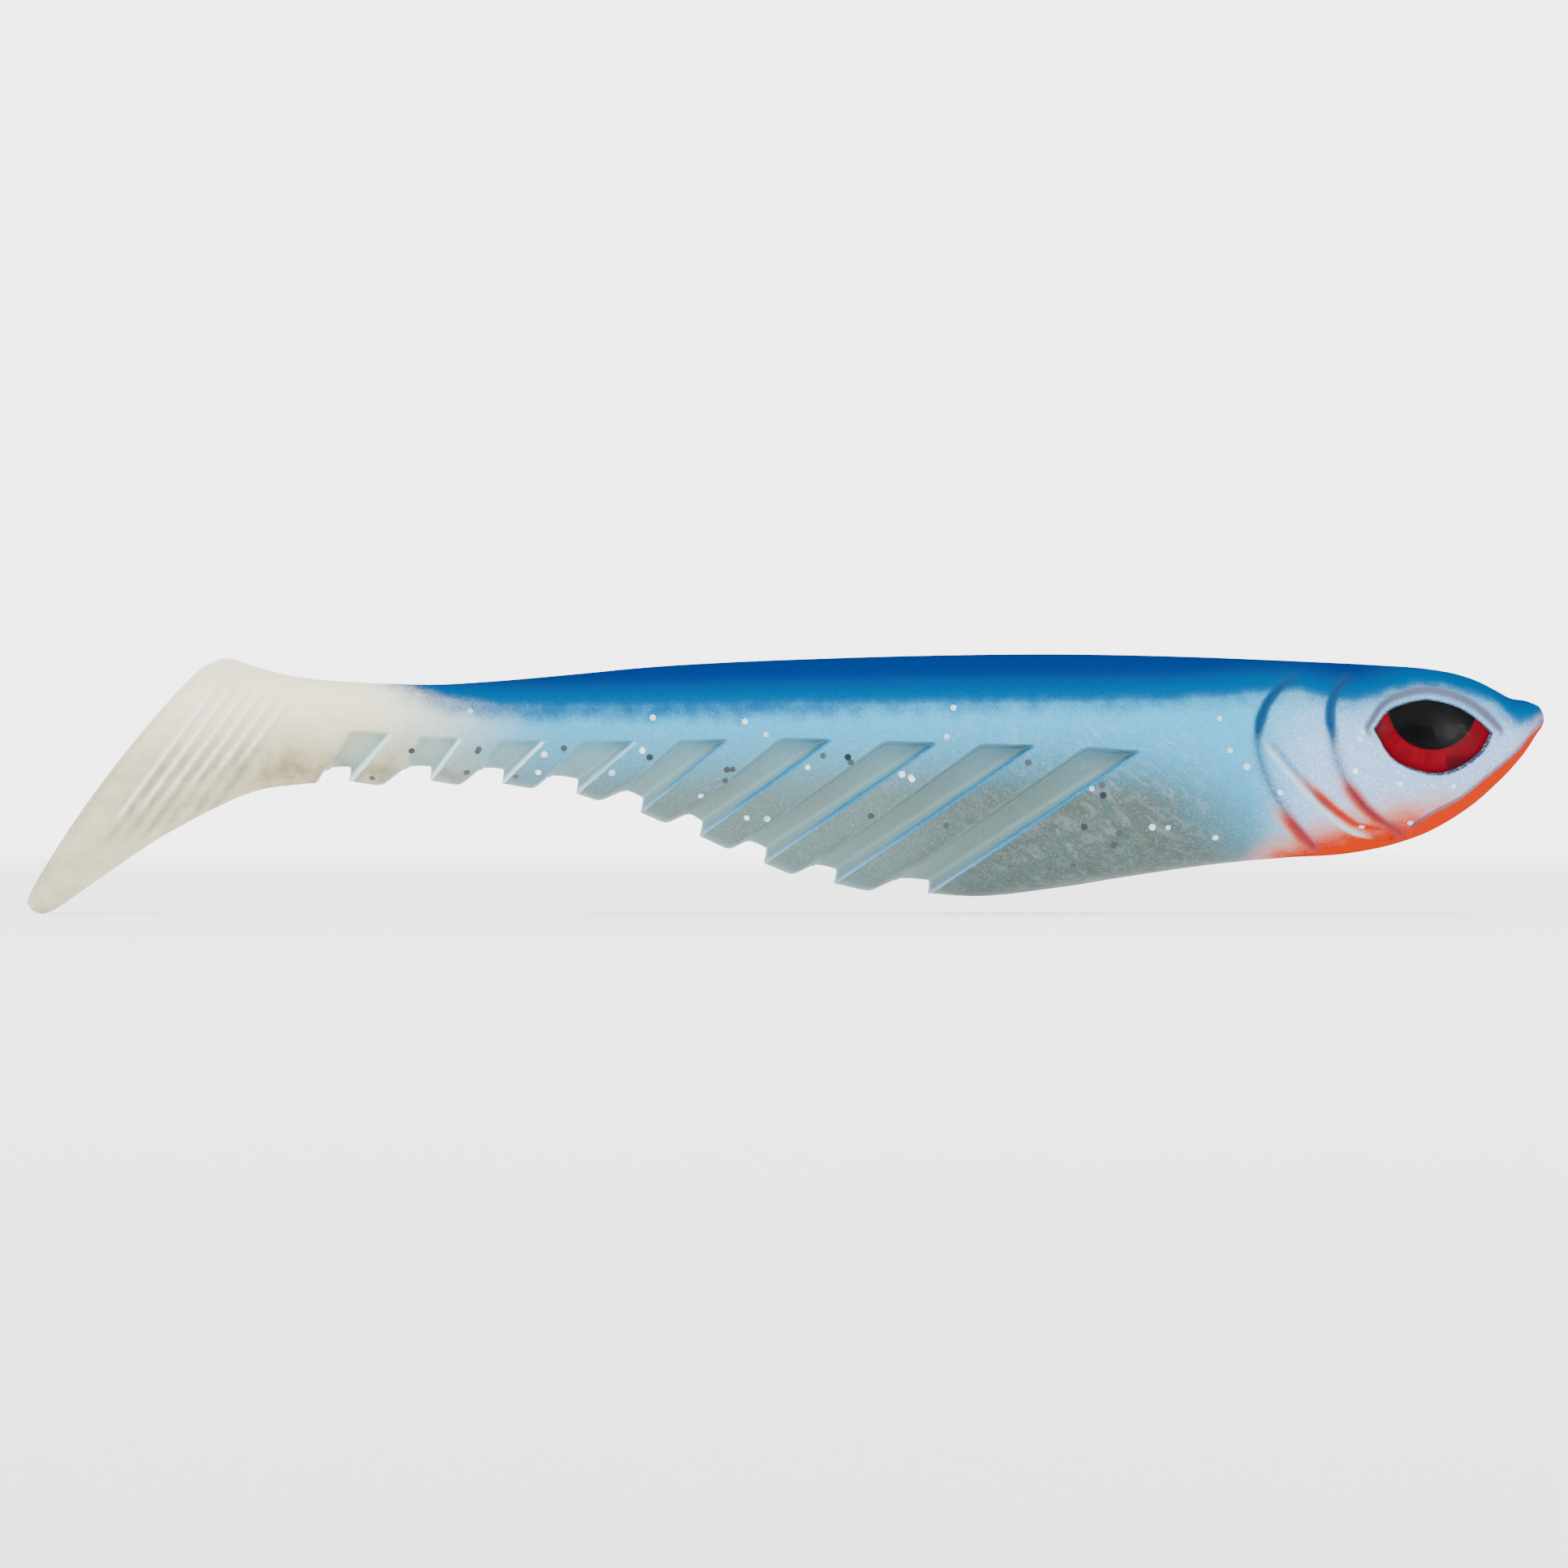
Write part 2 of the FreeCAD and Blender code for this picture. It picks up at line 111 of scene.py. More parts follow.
# the sharp rear tip of the trunk and of each rib
TIPS = (
    (-52.75, -15.15), (-60.75, -14.2), (-66.75, -12.45), (-72.25, -10.15), (-77.3, -8.15),
    (-82.8, -6.5), (-89.15, -5.65), (-95.3, -5.4), (-102.2, -5.45),
)
# tail sections: top x, top z, foot x, foot z, half width
TAIL_SECTIONS = (
    (-104.3, 3.18, -105.6, -5.65, 2.5),
    (-107.6, 3.66, -110.6, -6.45, 3.0),
    (-110.4, 4.42, -117.4, -9.75, 4.6),
    (-112.3, 5.03, -123.7, -13.9, 7.0),
    (-113.3, 4.95, -127.5, -16.5, 8.35),
    (-114.5, 4.4, -129.1, -16.6, 8.5),
    (-115.0, 4.05, -129.75, -15.85, 8.0),
)
PADDLE_BOW = 0.85       # how far the paddle's rear edge bulges behind its chord
BODY_FULLNESS = 2.35
TAIL_FULLNESS = 2.1
SLANT_START = -20.0
TAIL_START = -104.3
WEB_LIFT = 1.15         # the web's bottom edge above the tip in front of it
WEB_SETBACK = 0.4       # and ahead of it
WEB_ARCH = 0.12         # how far that edge arches up in its middle
HEEL_DROP = 0.12        # the rib's front heel below the web's rear end
GROOVE_DEPTH = 0.27     # of the half width


def smooth_through(points, where):
    """Heights at the given places on a smooth curve through points of falling x."""
    xs = np.array([p[0] for p in points], float)[::-1]
    ys = np.array([p[1] for p in points], float)[::-1]
    slopes = np.gradient(ys, xs)
    where = np.clip(np.asarray(where, float), xs[0], xs[-1])
    cell = np.clip(np.searchsorted(xs, where) - 1, 0, len(xs) - 2)
    width = xs[cell + 1] - xs[cell]
    t = (where - xs[cell]) / width
    return ((1 + 2 * t) * (1 - t) ** 2 * ys[cell] + t * (1 - t) ** 2 * width * slopes[cell]
            + t * t * (3 - 2 * t) * ys[cell + 1] + t * t * (t - 1) * width * slopes[cell + 1])


def ease(low, high, value):
    """0 below low, 1 above high, and smooth between them; low may be the larger."""
    t = np.clip((value - low) / (high - low), 0, 1)
    return t * t * (3 - 2 * t)


def near_nose(x, table, tip):
    """A table's value, rounded off to the nose tip ahead of its first point."""
    first_x, first_value = table[0]
    round_off = tip + (first_value - tip) * np.sqrt(np.clip(x / first_x, 0, 1))
    return np.where(x > first_x, round_off, smooth_through(table, x))


def back_at(x):
    """Height of the back."""
    return near_nose(x, BACK, NOSE_TIP_Z)


def half_width_at(x):
    """Half of the body's width."""
    return near_nose(x, HALF_WIDTH, 0.0)


# ---------------- grooves, from the frame

class Groove:
    """One groove's corners in millimetres, read from the CAD web that fills it."""

    def __init__(self, number):
        low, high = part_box(f"flex_web_{number}")
        self.hinge = JOINTS[f"bend_{number}"]["pos_m"][0] / MM
        self.top_front = high[0] / MM
        self.top_rear = 2 * self.hinge - self.top_front
        self.foot_rear = (low[0] / MM, low[2] / MM)
        self.tip = TIPS[number - 1]
        self.foot_front = (self.tip[0] + WEB_SETBACK, self.tip[1] + WEB_LIFT)
        self.heel = (self.foot_rear[0], self.foot_rear[1] - HEEL_DROP)


GROOVE = {number: Groove(number) for number in GROOVES}
FRONT_WALL = 0.5        # how far along the back the wall behind a sharp edge runs
REAR_WALL = 0.75        # the wall up to the next rib is softer
WALL_STEPS = (0.0, 0.04, 0.09, 0.15, 0.22, 0.3, 0.4, 0.5, 0.62, 0.75)
# how finely the back is cut: from each of these places on, the step to the next column
NOSE_COLUMNS = 9
HEAD_STEPS = ((-0.5, 0.12), (-3.2, 0.1), (-15.8, 0.13))
TRUNK_START = -25.5
RIB_STEP, WEB_STEP, WRIST_STEP = 0.3, 0.35, 0.22
AHEAD_OF_EDGE = (0.2, 0.1)      # columns this far ahead of a groove's sharp edge
BEHIND_GROOVE = (0.1, 0.25)     # and this far behind its soft one
BEHIND_WALL = 0.12              # from the front wall's foot to the web's first column


def stretch(start, end, step):
    """Evenly spaced places from start up to but without end."""
    count = max(2, round(abs(end - start) / step))
    return list(np.linspace(start, end, count, endpoint=False))


def rounded_line(corners, where, radius=0.4):
    """Heights on straight lines between corners of rising x, rounded at the corners."""
    xs, zs = zip(*corners)
    slide = np.linspace(-radius, radius, 9)[:, None]
    bent = np.interp(where[None, :] + slide, xs, zs).mean(axis=0)
    near_end = np.minimum(where - xs[0], xs[-1] - where)
    straight = np.interp(where, xs, zs)
    return straight + (bent - straight) * ease(0, radius, near_end)


def body_stations():
    """Where columns start on the back, from the nose tip to the wrist."""
    nose = HEAD_STEPS[0][0]
    stations = [nose * (k / NOSE_COLUMNS) ** 2 for k in range(1, NOSE_COLUMNS)]
    ends = [start for start, step in HEAD_STEPS[1:]] + [TRUNK_START]
    for (start, step), end in zip(HEAD_STEPS, ends):
        stations += stretch(start, end, step)
    here = TRUNK_START
    for groove in GROOVE.values():
        stations += stretch(here, groove.top_front + AHEAD_OF_EDGE[0], RIB_STEP)
        stations += [groove.top_front + d for d in AHEAD_OF_EDGE]
        stations += [groove.top_front - d for d in WALL_STEPS if d <= FRONT_WALL]
        stations += stretch(groove.top_front - FRONT_WALL - BEHIND_WALL,
                            groove.top_rear + REAR_WALL, WEB_STEP)
        stations += [groove.top_rear + d for d in WALL_STEPS[::-1]]
        stations += [groove.top_rear - BEHIND_GROOVE[0]]
        here = groove.top_rear - BEHIND_GROOVE[1]
    stations += stretch(here, TAIL_START, WRIST_STEP)
    return np.array(stations)


def between(start, end, share):
    """A place on the straight line between two points."""
    return start[0] + share * (end[0] - start[0]), start[1] + share * (end[1] - start[1])


def feet_in_groove(groove, stations):
    """Feet of the columns in one groove, and how deep each lies in it."""
    share = (groove.top_front - stations) / (groove.top_front - groove.top_rear)
    outer_x, outer_z = between(groove.tip, groove.heel, share)
    web_x, web_z = between(groove.foot_front, groove.foot_rear, share)
    web_z = web_z + WEB_ARCH * np.sin(math.pi * np.clip(share, 0, 1))
    steep = np.clip((groove.top_front - stations) / FRONT_WALL, 0, 1)
    depth = np.minimum(1 - (1 - steep) ** 2, ease(0, REAR_WALL, stations - groove.top_rear))
    return outer_x + (web_x - outer_x) * depth, outer_z + (web_z - outer_z) * depth, depth


def feet_on_rib(number, rib_end, stations):
    """Feet of the columns on the rib behind one groove, or on the wrist behind the last."""
    groove = GROOVE[number]
    share = np.clip((groove.top_rear - stations) / (groove.top_rear - rib_end), 0, 1)
    if number < len(GROOVE):
        end, low = TIPS[number], RIB_LOWS[number - 1]
        foot_x = between(groove.heel, end, share)[0]
        return foot_x, rounded_line((end, low, groove.heel), foot_x)
    end = TAIL_SECTIONS[0][2:4]
    foot_x = between(groove.heel, end, share)[0]
    return foot_x, between(groove.heel, end, ease(0, 0.7, share))[1]


def feet_of_body(stations):
    """Foot of each column, and how deep it lies in a groove."""
    first = GROOVE[1]
    lean = (stations < SLANT_START) & (stations >= first.top_front)
    share = (stations - SLANT_START) / (first.top_front - SLANT_START)
    foot_x = np.where(lean, SLANT_START + share * (first.tip[0] - SLANT_START), stations)
    foot_z = near_nose(foot_x, BELLY, NOSE_TIP_Z)
    recess = np.zeros_like(stations)
    for number, groove in GROOVE.items():
        inside = (stations < groove.top_front) & (stations > groove.top_rear)
        in_x, in_z, depth = feet_in_groove(groove, stations)
        rib_end = GROOVE[number + 1].top_front if number < len(GROOVE) else TAIL_START
        rib = (stations <= groove.top_rear) & (stations >= rib_end)
        rib_x, rib_z = feet_on_rib(number, rib_end, stations)
        foot_x = np.where(inside, in_x, np.where(rib, rib_x, foot_x))
        foot_z = np.where(inside, in_z, np.where(rib, rib_z, foot_z))
        recess = np.where(inside, depth, recess)
    return foot_x, foot_z, recess


# ---------------- the grid of the skin

UPPER_LINES = 66
LOWER_LINES = 112
TAIL_LINES = 96
# a column's knee is where it crosses the groove line
KNEE_AHEAD_X = (-30.0, SLANT_START)     # ahead of the ribs it moves to this share of the
KNEE_AHEAD = 0.2                        # half height above the middle
KNEE_BEHIND_X = (-102.5, TAIL_START)    # and on the tail to this one
KNEE_BEHIND = -0.06
LOWER_SPACING = 1.3                     # above 1, the lines lie closer under the knee
ROUNDER_X = (-95.0, TAIL_START)         # the section gets rounder here
STRAIGHTER_X = (-102.6, TAIL_START)     # and the bend at the knee goes away here
LEDGE = 0.45                            # this far below the knee a groove has its full depth
BOW_X = (-111.0, -114.5)
BOW_ROUNDNESS = 0.8


def tail_columns():
    """Tops, feet and half widths of the leaning columns of the tail."""
    index = np.arange(len(TAIL_SECTIONS), dtype=float)
    place = np.linspace(0, index[-1], TAIL_LINES)
    columns = []
    for part in range(5):
        points = [(-i, section[part]) for i, section in zip(index, TAIL_SECTIONS)]
        columns.append(smooth_through(points, -place))
    return columns


def make_columns():
    """Every column of the skin, nose to paddle face, as a dictionary of arrays."""
    body = body_stations()
    foot_x, foot_z, recess = feet_of_body(body)
    tail_top_x, tail_top_z, tail_foot_x, tail_foot_z, tail_width = tail_columns()
    straight = np.zeros(len(tail_top_x))
    columns = {
        "top_x": np.concatenate([body, tail_top_x]),
        "top_z": np.concatenate([back_at(body), tail_top_z]),
        "foot_x": np.concatenate([foot_x, tail_foot_x]),
        "foot_z": np.concatenate([foot_z, tail_foot_z]),
        "recess": np.concatenate([recess, straight]),
        "tail": np.concatenate([np.zeros(len(body)), np.ones(len(tail_top_x))]),
        "tail_width": np.concatenate([np.full(len(body), tail_width[0]), tail_width]),
    }
    middle = (columns["top_z"] + columns["foot_z"]) / 2
    half = (columns["top_z"] - columns["foot_z"]) / 2
    knee = smooth_through(GROOVE_LINE, columns["top_x"])
    share = (knee - middle) / half
    ahead = ease(*KNEE_AHEAD_X, columns["top_x"])
    share = share * (1 - ahead) + KNEE_AHEAD * ahead
    behind = ease(*KNEE_BEHIND_X, columns["top_x"])
    share = share * (1 - behind) + KNEE_BEHIND * behind
    columns["middle"], columns["half"], columns["knee_share"] = middle, half, share
    return columns


COLUMNS = make_columns()


def signed_power(value, power):
    """A power of a number's size that keeps its sign."""
    return np.sign(value) * np.abs(value) ** power


def half_surface():
    """Points of the right flank (y is the distance out), one row per column."""
    c = {name: values[:, None] for name, values in COLUMNS.items()}
    near_tail = ease(*ROUNDER_X, c["top_x"])
    fullness = BODY_FULLNESS + (TAIL_FULLNESS - BODY_FULLNESS) * near_tail
    knee = np.arcsin(np.clip(signed_power(c["knee_share"], fullness / 2), -0.99, 0.99))
    upper = np.linspace(0, 1, UPPER_LINES, endpoint=False)[None, :]
    lower = np.linspace(0, 1, LOWER_LINES)[None, :] ** LOWER_SPACING
    angle = np.concatenate([math.pi / 2 + (knee - math.pi / 2) * upper,
                            knee - (knee + math.pi / 2) * lower], axis=1)
    rise = signed_power(np.sin(angle), 2 / fullness)
    reach = np.abs(np.cos(angle)) ** (2 / fullness)
    z = c["middle"] + c["half"] * rise
    knee_z = c["middle"] + c["half"] * c["knee_share"]
    down = np.clip((knee_z - z) / (knee_z - c["foot_z"]), 0, 1)
    bent_x = c["top_x"] + (c["foot_x"] - c["top_x"]) * down
    along = (c["top_z"] - z) / (c["top_z"] - c["foot_z"])
    straight_x = c["top_x"] + (c["foot_x"] - c["top_x"]) * along
    x = bent_x + (straight_x - bent_x) * ease(*STRAIGHTER_X, c["top_x"])
    bulge = np.sin(math.pi * np.clip(along, 0, 1)).clip(0, 1) ** BOW_ROUNDNESS
    x = x - PADDLE_BOW * ease(*BOW_X, c["top_x"]) * bulge
    width = np.where(c["tail"] > 0, c["tail_width"], half_width_at(x))
    ledge = ease(0.0, LEDGE, knee_z - z)
    sunk = c["recess"] * ledge
    y = width * reach * (1 - GROOVE_DEPTH * sunk)
    return x, y, z, sunk


X, Y, Z, SUNK = half_surface()


def whole_ring(right, sign=1.0):
    """A right-flank array carried on round the belly and up the left flank."""
    return np.concatenate([right, sign * right[:, -2:0:-1]], axis=1)


def ring_points(x, y, z):
    """Points of the whole skin from those of the right flank, which faces -Y."""
    return np.stack([whole_ring(x), whole_ring(-y, -1.0), whole_ring(z)], axis=-1)


def ring_normals(points):
    """Outward normals of the grid, which closes round the lure."""
    along = np.gradient(points, axis=0)
    around = np.roll(points, -1, axis=1) - np.roll(points, 1, axis=1)
    normals = np.cross(along, around)
    length = np.linalg.norm(normals, axis=-1, keepdims=True)
    return normals / np.maximum(length, 1e-9)


# ---------------- relief of head and tail

GILL_FRONT = ((-16.9, 3.7), (-18.3, 1.3), (-18.3, -1.3), (-17.7, -4.1), (-16.4, -6.5),
              (-14.6, -8.4), (-12.4, -9.9))
GILL_REAR = ((-21.4, 3.7), (-23.5, 1.7), (-24.4, -0.4), (-24.6, -2.4), (-24.0, -4.8),
             (-22.7, -7.4), (-21.2, -9.5), (-19.8, -11.0))
GILL_BRANCH = ((-24.3, -1.9), (-22.7, -3.9), (-20.7, -6.2), (-18.6, -8.3), (-16.4, -9.8),
               (-13.6, -10.4))
MOUTH = ((-0.15, -0.3), (-2.4, -3.0), (-5.3, -5.4), (-7.3, -7.0), (-9.8, -8.3), (-11.5, -9.4))
UPPER_LID = ((-14.68, -1.0), (-13.5, 0.62), (-11.8, 1.4), (-9.85, 1.65), (-7.4, 1.0),
             (-5.7, -0.1), (-4.45, -1.35))
LOWER_LID = ((-4.45, -1.35), (-5.3, -2.9), (-6.95, -4.25), (-9.1, -4.92), (-11.7, -4.35),
             (-13.4, -3.2), (-14.68, -1.0))
EYE_MIDDLE = (-9.6, -1.5)
EYE_CORNER_Z = -1.0             # the upper lid ends on a line through the eye's corners
EYE_CORNER_SLOPE = 0.04
EYE_OPENING_DEPTH = 1.5
CURVE_SAMPLES = 90
TAIL_RIDGES = (2.1, 3.2, 4.3, 5.4, 6.5, 7.6)    # from the paddle's rear edge
RIDGE_FOOT_Z = -4.5             # where the foremost ridge ends
RIDGE_LONGER = 0.9              # how much lower each ridge ends per mm of its place
RIDGE_FADE = 2.0
RIDGE_HEIGHT, RIDGE_WIDTH = 0.27, 0.22
HOLLOW_DEPTH, HOLLOW_WIDTH = 0.17, 0.3
HOLLOW_AHEAD = 0.42             # of the ridge that it goes with
RELIEF_TOP_Z, RELIEF_FOOT_Z = (2.9, 2.1), (-9.0, -3.0)


def curve_through(points):
    """Samples of a smooth plane curve through a few points."""
    index = [-i for i in range(len(points))]
    place = np.linspace(0, -(len(points) - 1), CURVE_SAMPLES)
    xs = smooth_through([(i, p[0]) for i, p in zip(index, points)], place)
    zs = smooth_through([(i, p[1]) for i, p in zip(index, points)], place)
    return np.stack([xs, zs], axis=1)


def distance_from(curve, x, z):
    """Distance to a curve; positive ahead of a curve that runs down the flank."""
    best = np.full(x.shape, 1e9)
    side = np.zeros(x.shape)
    for (ax, az), (bx, bz) in zip(curve[:-1], curve[1:]):
        dx, dz = bx - ax, bz - az
        t = np.clip(((x - ax) * dx + (z - az) * dz) / (dx * dx + dz * dz), 0, 1)
        gap = np.hypot(x - ax - t * dx, z - az - t * dz)
        turn = np.sign(dx * (z - az) - dz * (x - ax))
        nearer = gap < best
        best = np.where(nearer, gap, best)
        side = np.where(nearer, turn, side)
    return best * np.where(side == 0, 1, side)


EYE_OUTLINE = np.concatenate([curve_through(UPPER_LID)[:-1], curve_through(LOWER_LID)])


def lid_distance(x, z):
    """Distance to the eye opening's edge, negative inside it."""
    gap = np.abs(distance_from(EYE_OUTLINE, x, z))
    turn = np.arctan2(EYE_OUTLINE[:, 1] - EYE_MIDDLE[1], EYE_OUTLINE[:, 0] - EYE_MIDDLE[0])
    reach = np.hypot(EYE_OUTLINE[:, 1] - EYE_MIDDLE[1], EYE_OUTLINE[:, 0] - EYE_MIDDLE[0])
    order = np.argsort(turn)
    here = np.arctan2(z - EYE_MIDDLE[1], x - EYE_MIDDLE[0])
    edge = np.interp(here, turn[order], reach[order], period=2 * math.pi)
    inside = np.hypot(x - EYE_MIDDLE[0], z - EYE_MIDDLE[1]) < edge
    return np.where(inside, -gap, gap)


def bell(distance, width):
    """1 on a line, falling smoothly to a third at this width from it."""
    return np.exp(-(distance / width) ** 2)


def head_marks(x, z):
    """Distances to the lines of the head, for its relief and its paint."""
    lines = {"front": GILL_FRONT, "rear": GILL_REAR, "branch": GILL_BRANCH, "mouth": MOUTH}
    marks = {name: distance_from(curve_through(line), x, z) for name, line in lines.items()}
    marks["lid"] = lid_distance(x, z)
    return marks


def raised_edge(distance, cut, cut_width, rise, reach):
    """A cut along a line, and ahead of it a cover that slopes down away from the line."""
    cover = (distance > 0) * np.exp(-np.abs(distance) / reach)
    return rise * cover - cut * bell(distance, cut_width)


def lid_relief(lid, x, z):
    """A fold above the eye, a low rim below it, and a deep opening for the lens."""
    corner_line = EYE_CORNER_Z - EYE_CORNER_SLOPE * (x - EYE_MIDDLE[0])
    upper = ease(-1.2, 0.9, z - corner_line)
    outside = np.maximum(lid, 0)
    relief = upper * (0.3 * bell(lid - 0.7, 0.25) - 0.3 * (1 - ease(0, 0.65, outside)))
    relief += (1 - upper) * 0.1 * bell(lid - 0.35, 0.4)
    relief -= 0.14 * (1 - ease(0, 0.16, outside))
    return relief - EYE_OPENING_DEPTH * ease(0, -0.22, lid)


def head_relief(marks, x, z):
    """How far the head's surface stands out, in millimetres."""
    below_back = 1 - ease(2.6, 4.2, z)
    jaw = ease(-0.2, -1.2, x)
    branch = marks["branch"]
    relief = below_back * (raised_edge(marks["rear"], 0.34, 0.4, 0.3, 2.4) - 0.05)
    relief += below_back * raised_edge(marks["front"], 0.32, 0.38, 0.26, 2.0)
    relief += 0.2 * bell(branch, 0.2) - 0.24 * bell(branch - 0.5, 0.34)
    relief += jaw * raised_edge(marks["mouth"], 0.16, 0.16, -0.1, 1.2)
    return relief + lid_relief(marks["lid"], x, z)


def tail_depth(x, z):
    """How far in front of the paddle's rear edge a point lies."""
    top_x, top_z, foot_x, foot_z = TAIL_SECTIONS[-1][:4]
    length = math.hypot(foot_x - top_x, foot_z - top_z)
    return ((x - top_x) * (top_z - foot_z) + (z - top_z) * (foot_x - top_x)) / length


def ridge_reach(ridge, z):
    """The ridges near the rear edge run further down than those ahead."""
    low = RIDGE_FOOT_Z - RIDGE_LONGER * (TAIL_RIDGES[-1] - ridge)
    return ease(low, low + RIDGE_FADE, z)


def tail_relief(x, z):
    """Fine ridges on both sides of the tail, parallel to the paddle's rear edge."""
    depth = tail_depth(x, z)
    band = ease(*RELIEF_TOP_Z, z) * ease(*RELIEF_FOOT_Z, z)
    relief = np.zeros(x.shape)
    for ridge in TAIL_RIDGES:
        reach = ridge_reach(ridge, z)
        relief += RIDGE_HEIGHT * bell(depth - ridge, RIDGE_WIDTH) * reach
        hollow = bell(depth - ridge - HOLLOW_AHEAD, HOLLOW_WIDTH)
        relief -= HOLLOW_DEPTH * hollow * reach
    return relief * band


# ---------------- the finished skin grid

FACE_RINGS = (0.965, 0.91, 0.84, 0.75, 0.65, 0.54, 0.42, 0.3, 0.18, 0.07)
FACE_DISH = 0.5
FACE_LIP = 0.12                 # height and width of the soft lip round the face
HEAD_END = -27.0
LINES = UPPER_LINES + LOWER_LINES
RING = 2 * LINES - 2


def add_face_rows(points):
    """Closes the paddle with a gently dished face inside its rim."""
    rim = points[-1]
    middle = rim.mean(axis=0)
    top_x, top_z, foot_x, foot_z = TAIL_SECTIONS[-1][:4]
    length = math.hypot(foot_x - top_x, foot_z - top_z)
    rearward = np.array([(foot_z - top_z) / length, 0, (top_x - foot_x) / length])
    rows = [points]
    for share in FACE_RINGS:
        lift = FACE_LIP * math.sin(math.pi * min(1, (1 - share) / FACE_LIP))
        dish = FACE_DISH * (1 - share ** 2) ** 2
        row = middle + (rim - middle) * share + rearward * (lift - dish)
        rows.append(row[None])
    return np.concatenate(rows, axis=0)


def repeat_last(values):
    """Gives the rows of the paddle's face the values of its rim."""
    return np.concatenate([values, np.repeat(values[-1:], len(FACE_RINGS), axis=0)], axis=0)


def finish_grid():
    """Points and normals of the whole skin, and the marks that its paint needs."""
    points = ring_points(X, Y, Z)
    normals = ring_normals(points)
    relief = np.zeros(points.shape[:2])
    top_x = COLUMNS["top_x"]
    head = top_x > HEAD_END
    tail = top_x < TAIL_START + 1
    ring_x, ring_z = points[..., 0], points[..., 2]
    half_marks = head_marks(X[head], Z[head])
    marks = {name: whole_ring(values) for name, values in half_marks.items()}
    flank = ease(0.05, 0.4, np.abs(normals[head][..., 1]))
    fade = ease(HEAD_END, HEAD_END + 2, top_x[head])[:, None]
    relief[head] = head_relief(marks, ring_x[head], ring_z[head]) * fade * flank
    relief[tail] = tail_relief(ring_x[tail], ring_z[tail])
    points = points + normals * relief[..., None]
    points = add_face_rows(points)
    return points, ring_normals(points), marks


POINTS, NORMALS, HEAD_MARKS = finish_grid()


# ---------------- where the paint lies

BLUE_EDGE = ((0, 0.1), (-1.2, -0.4), (-2.3, -0.6), (-4, 0.8), (-6, 1.7), (-8, 2.3),
             (-10.2, 2.6), (-12.6, 2.3), (-14.5, 1.7), (-16.6, 1.2), (-18.5, 1.5),
             (-21, 2.0), (-24, 2.0), (-30, 1.5), (-42, 1.2), (-52, 1.1), (-62, 0.95),
             (-72, 0.75), (-80, 0.65), (-86, 0.65), (-91, 0.9), (-96, 1.5), (-103, 2.2))
ORANGE_EDGE = ((0, -2.3), (-3, -4.2), (-6, -5.8), (-9, -6.3), (-13, -6.7), (-17, -7.7),
               (-21, -9.0), (-24, -10.3), (-28, -12.2))


# A paint, or a painted highlight or shade, fades in from the first place, where there is none of
# it, to the second.
BLUE_TAIL_X = (-104.0, -90.0)
MIST_X = (-56.0, -66.0)
DEEP_ABOVE_EDGE = (0.5, 3.1)
LOWER_Z = (0.8, -7.5)
LOWER_FRONT_X = (-20.0, -38.0)
LOWER_REAR_X = (-105.0, -92.0)
RIBBED_X = (-46.0, -58.0)
ORANGE_REAR_X = (-27.5, -23.0)
CHEEK_X = (-26.0, -19.0)
CHEEK_Z = (2.0, -3.0)
SWIRL_FRONT_X = (-25.0, -31.0)
SWIRL_REAR_X = (-56.0, -40.0)
SWIRL_Z = (0.5, -1.5)
TAIL_X = (-84.0, -103.0)
AMBER_Z = (2.5, -5.5)
PADDLE_X = (-107.0, -115.0)
RIDGES_X = (-103.0, -106.0)
RIDGES_Z = (2.9, 1.6)
HOLLOWS_TOP_Z = (-1.5, -4.5)
HOLLOWS_FOOT_Z = (-12.5, -8.0)
RIM_FRONT_X = (-50.0, -54.0)
RIM_REAR_X = (-104.0, -101.0)
LINE_TINT_GROOVES = (7.5, 4.5)      # the sharp edges of the front grooves are blue
LINE_TINT_FALL = (1.7, 0.5)
GILL_Z = (4.2, 3.0)
GILL_BLUE_Z = (-4.0, 0.5)
REAR_ORANGE_Z = (-6.5, -9.5)
FRONT_ORANGE_Z = (-3.8, -6.8)
BRANCH_ORANGE_Z = (-3.5, -7.5)
BRANCH_LIGHT_X = (-14.2, -16.4)
BRANCH_RIDGE_Z = (-1.8, -3.2)
BRANCH_DARK_TOP_Z = (-1.6, -3.0)
BRANCH_DARK_FOOT_Z = (-9.5, -7.0)
ABOVE_EYE_Z = (-2.2, -0.4)
LIP_X = (-7.5, -3.0)
JAW_REAR_X = -12.0
MOUTH_REAR_X = -11.5
LOWER_LEAN = 1.1        # the grey of the belly starts along a line that leans back
LOWER_LEAN_Z = -5.0


